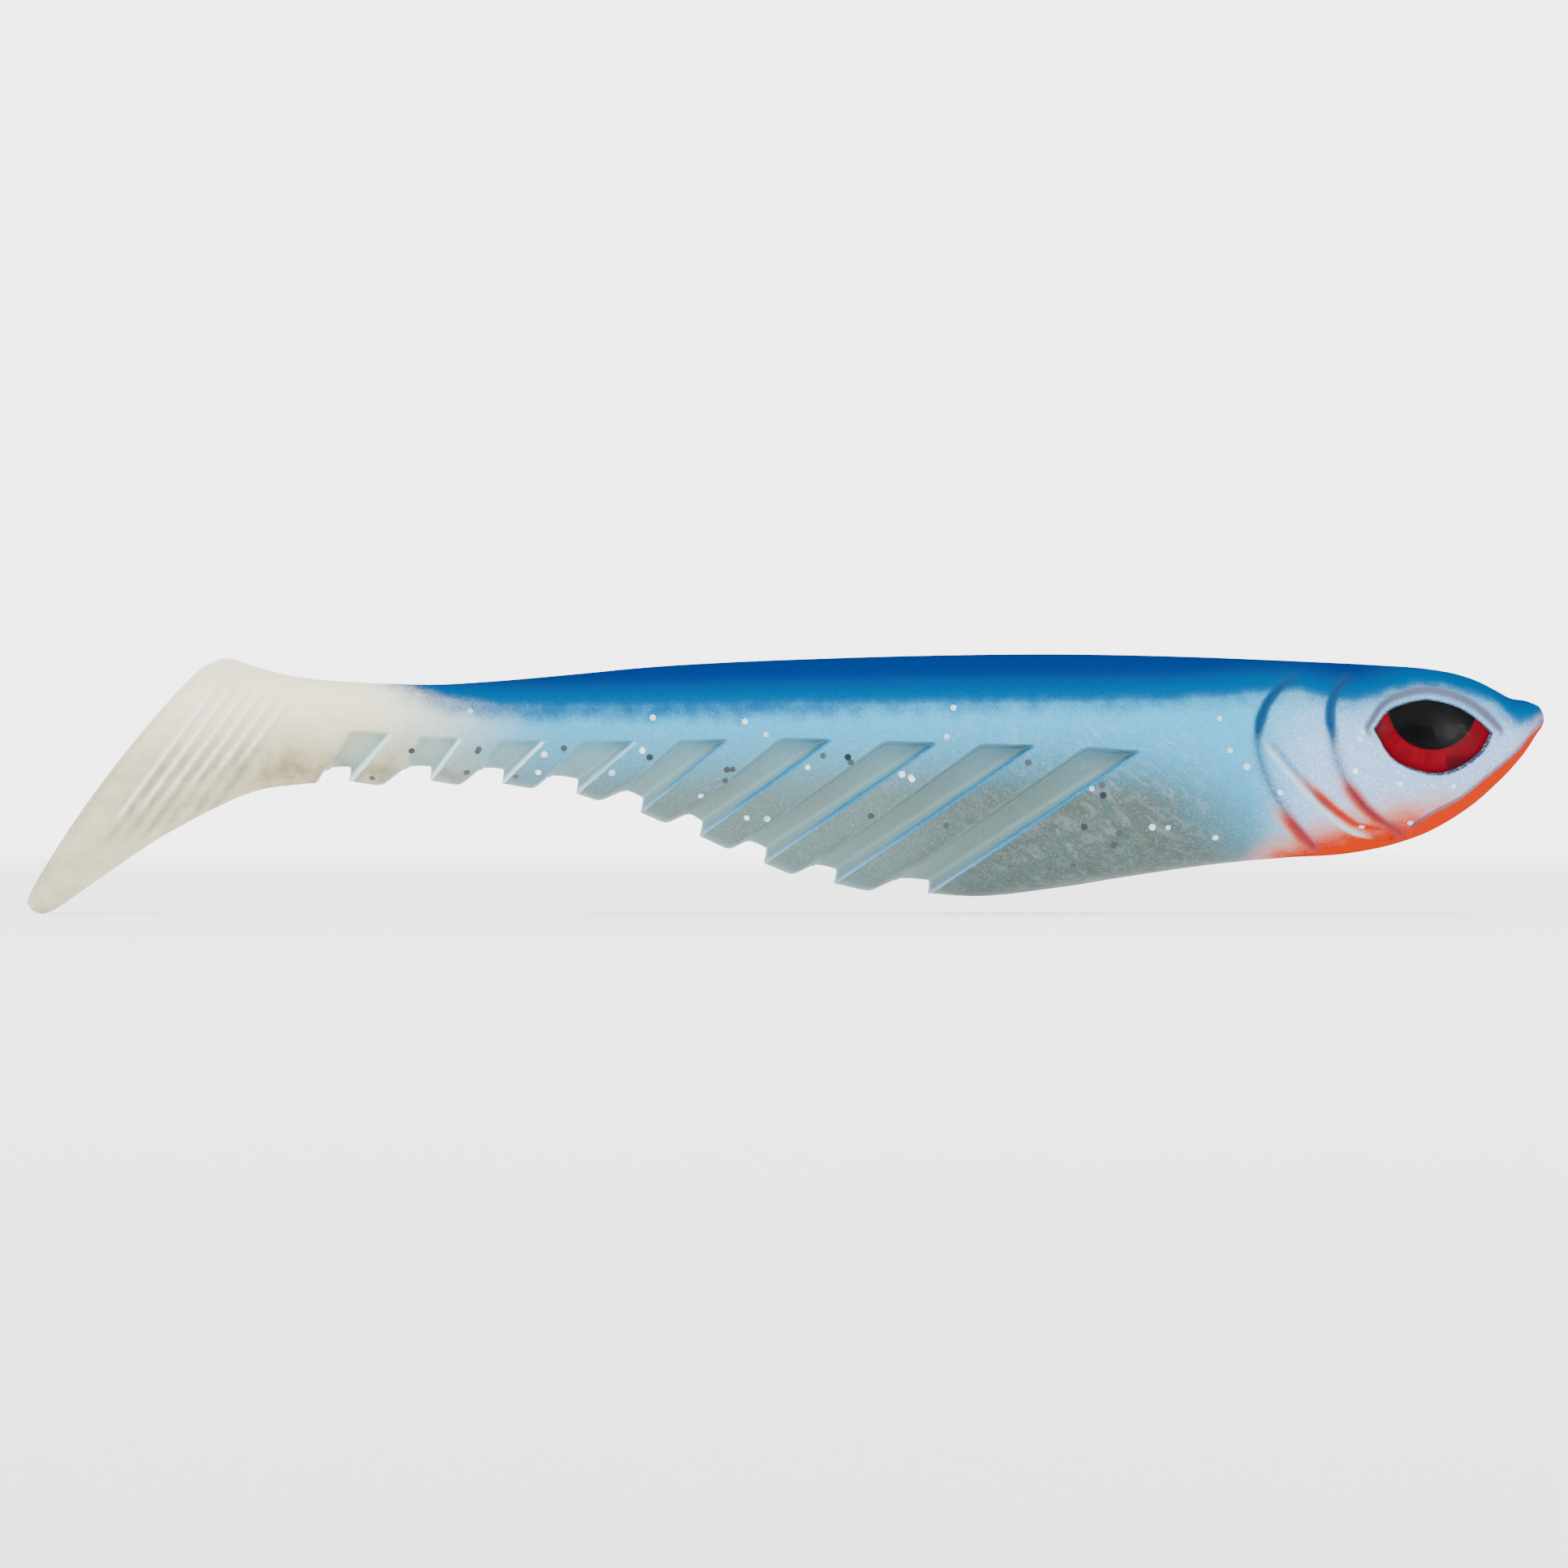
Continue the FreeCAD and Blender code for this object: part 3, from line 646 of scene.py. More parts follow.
def body_masks(x, z, sunk):
    """The blue back, the orange throat and the greys of belly, ribs and cheek."""
    edge = smooth_through(BLUE_EDGE, x)
    mist = (0.34 + 0.14 * ease(*MIST_X, x)) * ease(edge - 2.4, edge + 0.3, z)
    blue = np.maximum(np.clip((z - edge + 0.8) / 2.3, 0, 1), mist)
    orange = np.clip((smooth_through(ORANGE_EDGE, x) - z + 1.0) / 4.6, 0, 1)
    leaning = x + LOWER_LEAN * (z - LOWER_LEAN_Z)
    return {
        "blue": blue * ease(*BLUE_TAIL_X, x),
        "deep": ease(edge + DEEP_ABOVE_EDGE[0], edge + DEEP_ABOVE_EDGE[1], z),
        "orange": orange * ease(*ORANGE_REAR_X, x),
        "floor": sunk,
        "lower": ease(*LOWER_Z, z) * ease(*LOWER_FRONT_X, leaning) * ease(*LOWER_REAR_X, x),
        "ribbed": ease(*RIBBED_X, x),
        "cheek": ease(*CHEEK_X, x) * (0.4 + 0.6 * ease(*CHEEK_Z, z)),
        "swirl": ease(*SWIRL_FRONT_X, x) * ease(*SWIRL_REAR_X, x) * ease(*SWIRL_Z, z),
    }


def tail_masks(x, z):
    """The pale tail, its amber foot, painted highlights on its ridges and painted shade in the
    hollows between them.
    """
    depth = tail_depth(x, z)
    ridges, hollows = np.zeros(x.shape), np.zeros(x.shape)
    for ridge in TAIL_RIDGES:
        # painted highlights on the ridge crests, and painted shade in the hollows ahead of them
        ridges = np.maximum(ridges, bell(depth - ridge, 0.16) * ridge_reach(ridge, z))
        hollows = np.maximum(hollows, bell(depth - ridge - 0.5, 0.32))
    on_tail = ease(*RIDGES_X, x)
    return {
        "tail": ease(*TAIL_X, x),
        "amber": ease(*AMBER_Z, z) * (1.0 - 0.4 * ease(*PADDLE_X, x)),
        "ridge": ridges * on_tail * ease(*RIDGES_Z, z),
        "hollow": hollows * on_tail * ease(*HOLLOWS_TOP_Z, z) * ease(*HOLLOWS_FOOT_Z, z),
    }


def groove_masks(x, z, sunk, top_x):
    """The thin line along each groove's sharp edge, blue paint high on the front grooves and a
    painted highlight elsewhere; a painted highlight on the wall behind it; painted light on its
    soft edge and along the rib feet.
    """
    knee = smooth_through(GROOVE_LINE, top_x)
    under = ease(0.0, 0.3, knee - z)
    line, tint = np.zeros(x.shape), np.zeros(x.shape)
    band, rear_edge = np.zeros(x.shape), np.zeros(x.shape)
    for number, groove in GROOVE.items():
        ahead = top_x - groove.top_front
        fall = np.clip((knee - z) / np.maximum(knee - groove.tip[1], 0.1), 0, 1)
        width = 0.26 - 0.13 * fall
        line = np.maximum(line, bell(ahead - 0.05, width) * under)
        blueness = ease(*LINE_TINT_GROOVES, number) * ease(*LINE_TINT_FALL, fall)
        tint = np.where(np.abs(ahead) < 1.0, blueness, tint)
        # painted highlight on the wall just behind each sharp edge, which faces up to the light
        band = np.maximum(band, bell(ahead + 0.5, 0.5) * under * (ahead < 0))
        # painted light along each groove's soft rear edge, where the thin plastic lets light
        # through
        rear_edge = np.maximum(rear_edge, bell(top_x - groove.top_rear - 0.25, 0.35) * under)
    foot = repeat_last(COLUMNS["foot_z"])[:, None]
    # painted light along the thin feet of the ribs
    rim = bell(z - foot, 0.3) * ease(*RIM_FRONT_X, x) * ease(*RIM_REAR_X, x) * (sunk < 0.02)
    return {"line": line, "line_tint": tint, "band": band,
            "rear_edge": np.maximum(rear_edge, rim)}


def paint_head(masks, x, z):
    """Adds the paint along gills, mouth and eye to the masks of the head's points, with painted
    shade and painted highlights.
    """
    marks = HEAD_MARKS
    rear, front, branch = marks["rear"], marks["front"], marks["branch"]
    mouth, lid = marks["mouth"], marks["lid"]
    gill = np.maximum(bell(rear, 0.5), bell(front, 0.5)) * ease(*GILL_Z, z)
    # painted highlight along the crest of the gill branch
    branch_light = bell(branch, 0.22) * ease(*BRANCH_LIGHT_X, x)
    above_eye = ease(*ABOVE_EYE_Z, z)

    gill_blue = gill * ease(*GILL_BLUE_Z, z)
    masks["blue"][:] = np.maximum(masks["blue"], 0.85 * gill_blue)
    masks["blue"] *= 1 - ease(0.95, 0.65, lid) * above_eye

    gill_orange = np.maximum.reduce([
        bell(rear + 0.2, 0.8) * ease(*REAR_ORANGE_Z, z),
        bell(front + 0.1, 0.75) * ease(*FRONT_ORANGE_Z, z),
        bell(branch - 0.6, 0.6) * ease(*BRANCH_ORANGE_Z, z),
    ])
    jaw_orange = ease(0, 0.25, mouth) * (x > JAW_REAR_X)
    masks["orange"][:] = np.maximum.reduce([masks["orange"], 0.9 * gill_orange, jaw_orange])
    masks["orange"] *= 1 - 0.75 * branch_light

    # painted shade on the upper side of the gill branch
    branch_dark = bell(branch - 0.45, 0.24) * ease(*BRANCH_DARK_TOP_Z, z)
    # painted shade in the mouth slit, the gill grooves, above the gill branch and round the eye's
    # opening
    masks["crease_shade"][:] = np.maximum.reduce([
        bell(mouth, 0.16) * (x > MOUTH_REAR_X),
        0.5 * gill,
        0.55 * branch_dark * ease(*BRANCH_DARK_FOOT_Z, z),
        2.2 * ease(0.12, 0.0, lid),
    ])
    # painted shade along the eyelid's fold above the eye
    masks["lid"][:] = bell(lid - 0.6, 0.22) * above_eye
    masks["lip"][:] = bell(mouth + 0.35, 0.3) * ease(*LIP_X, x)
    # painted highlight along the gill branch
    masks["band"][:] = np.maximum(masks["band"], 0.8 * branch_light)
    masks["ridge"][:] = 0.6 * branch_light * ease(*BRANCH_RIDGE_Z, z)


def paint_masks():
    """One number per grid point and paint, mostly from 0 to 1."""
    x, z = POINTS[..., 0], POINTS[..., 2]
    top_x = repeat_last(COLUMNS["top_x"])[:, None] * np.ones((1, RING))
    sunk = repeat_last(whole_ring(SUNK))
    masks = body_masks(x, z, sunk) | tail_masks(x, z) | groove_masks(x, z, sunk, top_x)
    masks |= {name: np.zeros(x.shape) for name in ("lid", "crease_shade", "lip")}
    head_rows = int(np.sum(COLUMNS["top_x"] > HEAD_END))
    on_head = {name: values[:head_rows] for name, values in masks.items()}
    paint_head(on_head, x[:head_rows], z[:head_rows])
    return masks


MASKS = paint_masks()


# ---------------- meshes from the grid

HEAD_SPLIT = -17.4      # head and trunk skin meet here, ahead of the rear gill
WRIST_END = -103.3      # wrist and tail skin meet here


def rigid_name(top_x):
    """The stiff piece that covers a place on the back."""
    if top_x > HEAD_SPLIT:
        return "head_skin"
    if top_x > GROOVE[1].top_front:
        return "trunk_skin"
    passed = sum(1 for groove in GROOVE.values() if top_x < groove.top_rear)
    return f"rib_{passed}_skin" if passed < len(GROOVE) else "wrist_skin"


def lower_name(number, top_x):
    """The piece below the groove line at a place inside one groove."""
    groove = GROOVE[number]
    if top_x > groove.top_front - FRONT_WALL:
        return rigid_name(groove.top_front + AHEAD_OF_EDGE[-1])
    if top_x < groove.top_rear + REAR_WALL:
        return rigid_name(groove.top_rear - BEHIND_GROOVE[0])
    return f"web_{number}_skin"


def cell_labels():
    """Names the piece that each cell of the grid belongs to."""
    rows = POINTS.shape[0] - 1
    labels = np.full((rows, RING), "tail_skin", dtype=object)
    top_x = COLUMNS["top_x"]
    column = np.arange(RING)
    upper = (column < UPPER_LINES) | (column >= RING - UPPER_LINES)
    for row in range(len(top_x) - 1):
        here = (top_x[row] + top_x[row + 1]) / 2
        if here < WRIST_END:
            break
        labels[row] = rigid_name(here)
        for number, groove in GROOVE.items():
            if groove.top_rear < here < groove.top_front:
                labels[row] = lower_name(number, here)
                labels[row, upper] = f"back_flex_{number}"
    return labels


LABELS = cell_labels()


def add_object(name, data):
    """A new object in the scene that shows a mesh, a camera or a light."""
    obj = bpy.data.objects.new(name, data)
    bpy.context.scene.collection.objects.link(obj)
    return obj


def new_mesh(name, points, faces, normals=None, masks=None):
    """A mesh in metres, with its rest place and paint masks stored on its points."""
    mesh = bpy.data.meshes.new(name)
    mesh.from_pydata((points * MM).tolist(), [], faces)
    mesh.polygons.foreach_set("use_smooth", np.ones(len(mesh.polygons), bool))
    rest = mesh.attributes.new("rest", "FLOAT_VECTOR", "POINT")
    rest.data.foreach_set("vector", (points * MM).astype(np.float32).ravel())
    for mask, values in (masks or {}).items():
        attribute = mesh.attributes.new(mask, "FLOAT", "POINT")
        attribute.data.foreach_set("value", values.astype(np.float32))
    if normals is not None:
        mesh.normals_split_custom_set_from_vertices(normals.tolist())
    return add_object(name, mesh)


def skin_piece(name):
    """The part of the skin with one label, with the whole skin's normals."""
    row, column = np.nonzero(LABELS == name)
    after = (column + 1) % RING
    corners = np.stack([row * RING + column, (row + 1) * RING + column,
                        (row + 1) * RING + after, row * RING + after], axis=1)
    used, faces = np.unique(corners, return_inverse=True)
    faces = faces.reshape(-1, 4).tolist()
    place = {grid: new for new, grid in enumerate(used.tolist())}
    if name == "head_skin":
        faces.append([place[i] for i in range(RING)])
    if name == "tail_skin":
        last = (POINTS.shape[0] - 1) * RING
        faces.append([place[last + i] for i in range(RING - 1, -1, -1)])
    points = POINTS.reshape(-1, 3)[used]
    normals = NORMALS.reshape(-1, 3)[used]
    masks = {mask: values.reshape(-1)[used] for mask, values in MASKS.items()}
    return new_mesh(name, points, faces, normals, masks)


# ---------------- material building

def paint(red, green, blue):
    """A colour as the share of each light that it throws back."""
    return (red, green, blue, 1.0)


class Graph:
    """A material's node tree with short names for the nodes used here."""

    def __init__(self, name):
        self.material = bpy.data.materials.new(name)
        self.material.use_nodes = True
        self.nodes = self.material.node_tree.nodes
        self.links = self.material.node_tree.links
        self.surface = self.nodes["Principled BSDF"]
        self.output = self.nodes["Material Output"]

    def set(self, socket, value):
        """Links another node's output to a socket, or gives the socket a plain value."""
        if isinstance(value, bpy.types.NodeSocket):
            self.links.new(value, socket)
        else:
            socket.default_value = value

    def mask(self, name):
        """A number stored on the mesh's points."""
        node = self.nodes.new("ShaderNodeAttribute")
        node.attribute_name = name
        return node.outputs["Fac"]

    def place(self):
        """Where a point lies at rest, so that patterns move with the plastic."""
        node = self.nodes.new("ShaderNodeAttribute")
        node.attribute_name = "rest"
        return node.outputs["Vector"]

    def math(self, operation, first, second=0.0, third=0.0, clamp=False):
        """The result of one sum on numbers or other nodes' outputs."""
        node = self.nodes.new("ShaderNodeMath")
        node.operation, node.use_clamp = operation, clamp
        for socket, value in zip(node.inputs, (first, second, third)):
            self.set(socket, value)
        return node.outputs[0]

    def mix(self, factor, first, second, blend="MIX"):
        """The first colour where the factor is 0, the second where it is 1."""
        node = self.nodes.new("ShaderNodeMix")
        node.data_type, node.blend_type = "RGBA", blend
        self.set(node.inputs["Factor"], factor)
        self.set(node.inputs["A"], first)
        self.set(node.inputs["B"], second)
        return node.outputs["Result"]

    def spread(self, value, low, high, to_low=0.0, to_high=1.0):
        """Maps one range of a value smoothly to another, and holds it at the ends."""
        node = self.nodes.new("ShaderNodeMapRange")
        node.interpolation_type = "SMOOTHSTEP"
        for name, number in (("Value", value), ("From Min", low), ("From Max", high),
                             ("To Min", to_low), ("To Max", to_high)):
            self.set(node.inputs[name], number)
        return node.outputs["Result"]

    def coat(self, colour, mask, strength, pigment):
        """A thin coat of one pigment over a colour, where a mask says."""
        return self.mix(self.math("MULTIPLY", self.mask(mask), strength), colour, pigment)

    def thick(self, coverage):
        """Dark paint over a light ground hides it sooner than its coverage says."""
        bare = self.math("SUBTRACT", 1.0, coverage, clamp=True)
        return self.math("SUBTRACT", 1.0, self.math("POWER", bare, 2.4))

    def noise(self, grain_mm, detail=2.0, distortion=0.0, streak=None):
        """Smooth noise fixed to the plastic; streak is its grain's length and slope."""
        node = self.nodes.new("ShaderNodeTexNoise")
        place = self.place()
        if streak:
            mapping = self.nodes.new("ShaderNodeMapping")
            mapping.vector_type = "TEXTURE"
            mapping.inputs["Rotation"].default_value = (0, math.radians(streak[1]), 0)
            mapping.inputs["Scale"].default_value = (streak[0], 1, 1)
            self.links.new(place, mapping.inputs["Vector"])
            place = mapping.outputs["Vector"]
        self.links.new(place, node.inputs["Vector"])
        self.set(node.inputs["Scale"], 1 / (grain_mm * MM))
        self.set(node.inputs["Detail"], detail)
        self.set(node.inputs["Distortion"], distortion)
        return node.outputs["Fac"]

    def cells(self, size_mm):
        """A random level from 0 to 1 in each small cell."""
        node = self.nodes.new("ShaderNodeTexVoronoi")
        self.links.new(self.place(), node.inputs["Vector"])
        self.set(node.inputs["Scale"], 1 / (size_mm * MM))
        level = self.nodes.new("ShaderNodeSeparateColor")
        self.links.new(node.outputs["Color"], level.inputs["Color"])
        return level.outputs["Red"]

    def bump(self, height, rise_mm):
        """Makes the surface look uneven by a height from 0 to 1."""
        node = self.nodes.new("ShaderNodeBump")
        self.set(node.inputs["Height"], height)
        self.set(node.inputs["Distance"], rise_mm * MM)
        self.links.new(node.outputs["Normal"], self.surface.inputs["Normal"])

    def finish(self, **values):
        """Sets the surface's inputs; an underscore in a name stands for a space."""
        for name, value in values.items():
            self.set(self.surface.inputs[name.replace("_", " ")], value)
        return self.material


PEARL = paint(0.02, 0.33, 0.57)
GREY_GREEN = paint(0.063, 0.078, 0.06)
RIB_GREY = paint(0.098, 0.135, 0.119)
# the thin web's olive tint in the groove floors, lightened as painted light coming through the
# thin plastic
WEB_TINT_AND_THROUGH_LIGHT = paint(0.2, 0.3, 0.285)
# painted highlight for lit groove walls and the gill branch, and painted light through thin edges
EDGE_HIGHLIGHT = paint(0.23, 0.4, 0.42)
TAIL_WHITE = paint(0.9, 0.84, 0.6)
TAIL_AMBER = paint(0.19, 0.155, 0.068)
TAIL_SHADE = paint(0.16, 0.14, 0.09)
CHEEK_SILVER = paint(0.25, 0.4, 0.65)
AZURE = paint(0.0, 0.067, 0.195)
DEEP_BLUE = paint(0.0, 0.023, 0.14)
ORANGE = paint(0.4, 0.02, 0.0003)
PEACH = paint(0.5, 0.2, 0.12)
LINE_BLUE = paint(0.0, 0.16, 0.33)
# painted highlight along the sharp groove edges that carry no blue paint
EDGE_LINE_HIGHLIGHT = paint(0.5, 0.68, 0.75)
# painted shade on the eyelid's fold
LID_SHADE = paint(0.085, 0.1, 0.155)
LIP_PINK = paint(0.4, 0.16, 0.2)
# painted shade in creases
CREASE_SHADE = paint(0.03, 0.05, 0.1)
# white of the pearl streaks, and of painted glints and highlights on mica and ridges
PEARL_WHITE_AND_GLINT = paint(0.95, 0.97, 1.0)
SWIRL_STRETCH = (2.4, 38)       # how many times longer than wide, and how many degrees up
MICA_SIZE = 0.12


def plastic_colour(g, soft):
    """The pigments in the plastic, from the pearl body to the pale tail, with painted highlights,
    painted shade and painted light through thin plastic on top.
    """
    lower = g.math("MULTIPLY", g.mask("lower"), g.spread(soft, 0.2, 0.8, 0.925, 0.975))
    colour = g.mix(lower, PEARL, g.mix(g.mask("ribbed"), GREY_GREEN, RIB_GREY))
    colour = g.coat(colour, "cheek", 0.9, CHEEK_SILVER)
    swirl = g.noise(0.7, 3, 0.9, SWIRL_STRETCH)
    streaks = g.math("MULTIPLY", g.spread(swirl, 0.45, 0.75), g.mask("swirl"))
    colour = g.mix(g.math("MULTIPLY", streaks, 0.06), colour, PEARL_WHITE_AND_GLINT)
    amber = g.math("MULTIPLY", g.mask("amber"), g.spread(soft, 0.25, 0.75, 0.72, 1.0))
    colour = g.mix(g.mask("tail"), colour, g.mix(amber, TAIL_WHITE, TAIL_AMBER))
    # painted shade in the tail's hollows
    hollow = g.math("MULTIPLY", g.mask("hollow"), g.spread(soft, 0.3, 0.7, 0.16, 0.3))
    colour = g.mix(g.thick(hollow), colour, TAIL_SHADE)
    # painted highlights on the tail ridges and along the gill branch
    colour = g.coat(colour, "ridge", 0.7, PEARL_WHITE_AND_GLINT)
    # groove floors: the web's tint, partly painted light through the thin plastic
    colour = g.coat(colour, "floor", 0.55, WEB_TINT_AND_THROUGH_LIGHT)
    # painted highlights on groove walls and gill branch, painted light on soft edges and rib feet
    colour = g.coat(colour, "band", 0.6, EDGE_HIGHLIGHT)
    return g.coat(colour, "rear_edge", 0.25, EDGE_HIGHLIGHT)


def airbrushed(g, colour, ragged):
    """Sprays the blue back and the orange throat on, and tells how much paint, with the painted
    shade on the eyelid, hides.
    """
    blue = g.math("MULTIPLY_ADD", ragged, 0.35, g.mask("blue"))
    blue = g.thick(g.spread(blue, 0.08, 0.82))
    colour = g.mix(blue, colour, g.mix(g.mask("deep"), AZURE, DEEP_BLUE))
    drift = g.math("MULTIPLY", ragged, g.spread(g.mask("orange"), 0.0, 0.3, 0.0, 0.4))
    sprayed = g.math("ADD", drift, g.mask("orange"))
    orange = g.thick(g.spread(sprayed, 0.02, 1.05))
    colour = g.mix(orange, colour, g.mix(g.spread(sprayed, 0.32, 0.9), PEACH, ORANGE))
    return colour, g.math("MAXIMUM", g.math("MAXIMUM", blue, orange), g.mask("lid"))


def fine_lines(g, colour, ragged):
    """The lines along the grooves, blue paint on the front ones and a painted highlight on the
    rest, the soft line of the lip, and painted shade along the eyelid and in the creases.
    """
    line = g.spread(g.math("MULTIPLY_ADD", ragged, 0.5, g.mask("line")), 0.3, 0.75)
    # blue paint along the front grooves' sharp edges, a painted highlight along the rest
    colour = g.mix(line, colour, g.mix(g.mask("line_tint"), EDGE_LINE_HIGHLIGHT, LINE_BLUE))
    colour = g.coat(colour, "lip", 0.45, LIP_PINK)
    # painted shade along the eyelid's fold
    colour = g.mix(g.thick(g.mask("lid")), colour, LID_SHADE)
    # painted shade in the creases
    return g.mix(g.thick(g.math("MULTIPLY", g.mask("crease_shade"), 0.45)), colour, CREASE_SHADE)


def skin_material():
    """Airbrushed soft plastic: pearl body, blue back, orange throat, fine mica grain with painted
    glints.
    """
    g = Graph("skin")
    fine = g.noise(0.16, 2)
    soft = g.noise(1.6, 3)
    ragged = g.math("SUBTRACT", g.math("ADD", fine, soft), 1.0)
    colour, painted = airbrushed(g, plastic_colour(g, soft), ragged)
    colour = fine_lines(g, colour, ragged)

    grain = g.mix(g.spread(fine, 0.25, 0.75, 0.88, 1.1), (0, 0, 0, 1), (1, 1, 1, 1))
    colour = g.mix(1.0, colour, grain, "MULTIPLY")
    # white mica specks painted as glints: more on the cheek, fewer in the grooves, none under
    # paint
    sparkle = g.math("MULTIPLY_ADD", g.mask("cheek"), 0.22, 0.055)
    sparkle = g.math("MULTIPLY", sparkle, g.spread(g.mask("floor"), 0.0, 1.0, 1.0, 0.3))
    sparkle = g.math("MULTIPLY", sparkle, g.spread(g.cells(MICA_SIZE), 0.7, 1.0))
    sparkle = g.math("MULTIPLY", sparkle, g.spread(painted, 0.0, 0.9, 1.0, 0.0))
    colour = g.mix(sparkle, colour, PEARL_WHITE_AND_GLINT)

    roughness = g.spread(soft, 0.2, 0.8, 0.3, 0.42)
    roughness = g.math("MULTIPLY_ADD", sparkle, -0.15, roughness)
    g.bump(g.math("ADD", g.noise(0.35, 3), g.math("MULTIPLY", g.noise(2.6, 2), 2.0)), 0.02)
    gloss = g.spread(painted, 0.0, 0.9, 0.045, 0.0)
    return g.finish(Base_Color=colour, Roughness=roughness, Specular_IOR_Level=gloss)


RESIN_IOR = 1.45
RESIN_COAT = 0.06       # the share of its true reflection that the lens shows


def lens_material():
    """Clear resin: almost invisible face on, bright at a glancing angle."""
    g = Graph("eye_lens")
    clear = g.nodes.new("ShaderNodeBsdfTransparent")
    gloss = g.nodes.new("ShaderNodeBsdfGlossy")
    g.set(gloss.inputs["Roughness"], g.spread(g.noise(0.6, 2), 0.3, 0.7, 0.03, 0.07))
    fresnel = g.nodes.new("ShaderNodeFresnel")
    g.set(fresnel.inputs["IOR"], RESIN_IOR)
    coated = g.math("MULTIPLY", fresnel.outputs[0], RESIN_COAT)
    mixed = g.nodes.new("ShaderNodeMixShader")
    g.links.new(coated, mixed.inputs["Fac"])
    g.links.new(clear.outputs[0], mixed.inputs[1])
    g.links.new(gloss.outputs[0], mixed.inputs[2])
    g.links.new(mixed.outputs[0], g.output.inputs["Surface"])
    return g.material


PUPIL_BLACK = paint(0.0015, 0.0015, 0.002)
IRIS_RED = paint(0.17, 0.0004, 0.005)
# dark red of the printed streaks and of a painted dark reflection at the front
IRIS_DARK = paint(0.035, 0.001, 0.004)
# painted reflection: faint grey light from the lens
LENS_REFLECTION_GREY = paint(0.022, 0.02, 0.022)
PUPIL_RADIUS = 3.85


def foil_material():
    """Printed foil: black pupil, streaked red iris, darker towards the front, with painted
    reflections of the lens.
    """
    g = Graph("eye_foil")
    distance, turn = g.mask("pupil_distance"), g.mask("pupil_turn")
    joined = g.nodes.new("ShaderNodeCombineXYZ")
    g.set(joined.inputs["X"], g.math("MULTIPLY", turn, 14.0))
    g.set(joined.inputs["Y"], g.math("MULTIPLY", distance, 0.35))
    streak = g.nodes.new("ShaderNodeTexNoise")
    g.links.new(joined.outputs[0], streak.inputs["Vector"])
    g.set(streak.inputs["Scale"], 1.6)
    g.set(streak.inputs["Detail"], 3.0)
    streaks = g.spread(streak.outputs["Fac"], 0.3, 0.7)
    # the streaks are print; the darker front is partly print and partly a painted dark reflection
    dark = g.math("MAXIMUM", g.math("MULTIPLY", g.mask("foil_shade"), 0.85),
                  g.math("MULTIPLY", streaks, 0.6))
    iris = g.mix(dark, IRIS_RED, IRIS_DARK)
    pupil = g.spread(distance, PUPIL_RADIUS - 0.08, PUPIL_RADIUS + 0.08, 1.0, 0.0)
    colour = g.mix(pupil, iris, PUPIL_BLACK)
    # painted reflections of the lens
    colour = g.mix(g.math("MULTIPLY", g.mask("lens_reflection"), 0.6), colour, LENS_REFLECTION_GREY)
    roughness = g.spread(streaks, 0.0, 1.0, 0.3, 0.45)
    return g.finish(Base_Color=colour, Roughness=roughness, Specular_IOR_Level=0.02)


def adhesive_material():
    """Matt white pad with a faint fibre."""
    g = Graph("eye_adhesive")
    fibre = g.noise(0.3, 4)
    colour = g.mix(fibre, paint(0.55, 0.54, 0.5), paint(0.8, 0.79, 0.75))
    g.bump(fibre, 0.03)
    return g.finish(Base_Color=colour, Roughness=g.spread(fibre, 0.2, 0.8, 0.65, 0.85))


def glitter_material():
    """Thin foil flakes, silver or black, dulled where they lie deeper in the plastic."""
    g = Graph("glitter")
    tone = g.mask("flake_tone")
    depth = g.mask("flake_depth")
    flake = g.mix(tone, paint(0.012, 0.02, 0.03), paint(0.9, 0.95, 0.95))
    veil = g.mix(tone, paint(0.03, 0.045, 0.05), paint(0.3, 0.5, 0.6))
    colour = g.mix(depth, flake, veil)
    scuffed = g.mix(g.spread(g.noise(0.12, 2), 0.35, 0.7, 0.0, 0.25), colour, veil)
    metal = g.math("MULTIPLY", g.math("SUBTRACT", 1.0, depth), 0.5)
    return g.finish(Base_Color=scuffed, Metallic=metal, Roughness=0.3)


# ---------------- skin pieces

SKIN = skin_material()


def dress(obj, material, replaced=()):
    """Gives a piece its material and hides the CAD nodes that it stands for."""
    obj.data.materials.clear()
    obj.data.materials.append(material)
    if replaced:
        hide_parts(*replaced)
    return obj


def rigid_skin(name, body, *replaced):
    """Skin that rides on one body."""
    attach(dress(skin_piece(name), SKIN, replaced), body)


def bend_between(piece):
    """Bakes a piece's placement into its mesh."""
    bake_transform(piece)


def flexing_skin(number):
    """The back over a groove and the web in it, as two pieces with their placement baked in; the
    walls beside the web belong to the stiff pieces.
    """
    web = dress(skin_piece(f"web_{number}_skin"), SKIN,
                (f"flex_web_{number}",))
    bend_between(web)
    back = dress(skin_piece(f"back_flex_{number}"), SKIN)
    bend_between(back)


def make_skin():
    """All of the moulding: stiff stretches, the pieces over and in the grooves, and the tail."""
    rigid_skin("head_skin", "trunk", "head_trunk")
    rigid_skin("trunk_skin", "trunk")
    for number in RIBS:
        rigid_skin(f"rib_{number}_skin", f"rib_{number}", f"rib_segment_{number}")
    rigid_skin("wrist_skin", "wrist", "tail_wrist")
    for number in GROOVES:
        flexing_skin(number)
    tail = dress(skin_piece("tail_skin"), SKIN,
                 ("tail_paddle", "flex_web_tail"))
    bend_between(tail)


# ---------------- eyes

PUPIL_MIDDLE = (-9.7, 1.05)
EYE_RINGS = 36


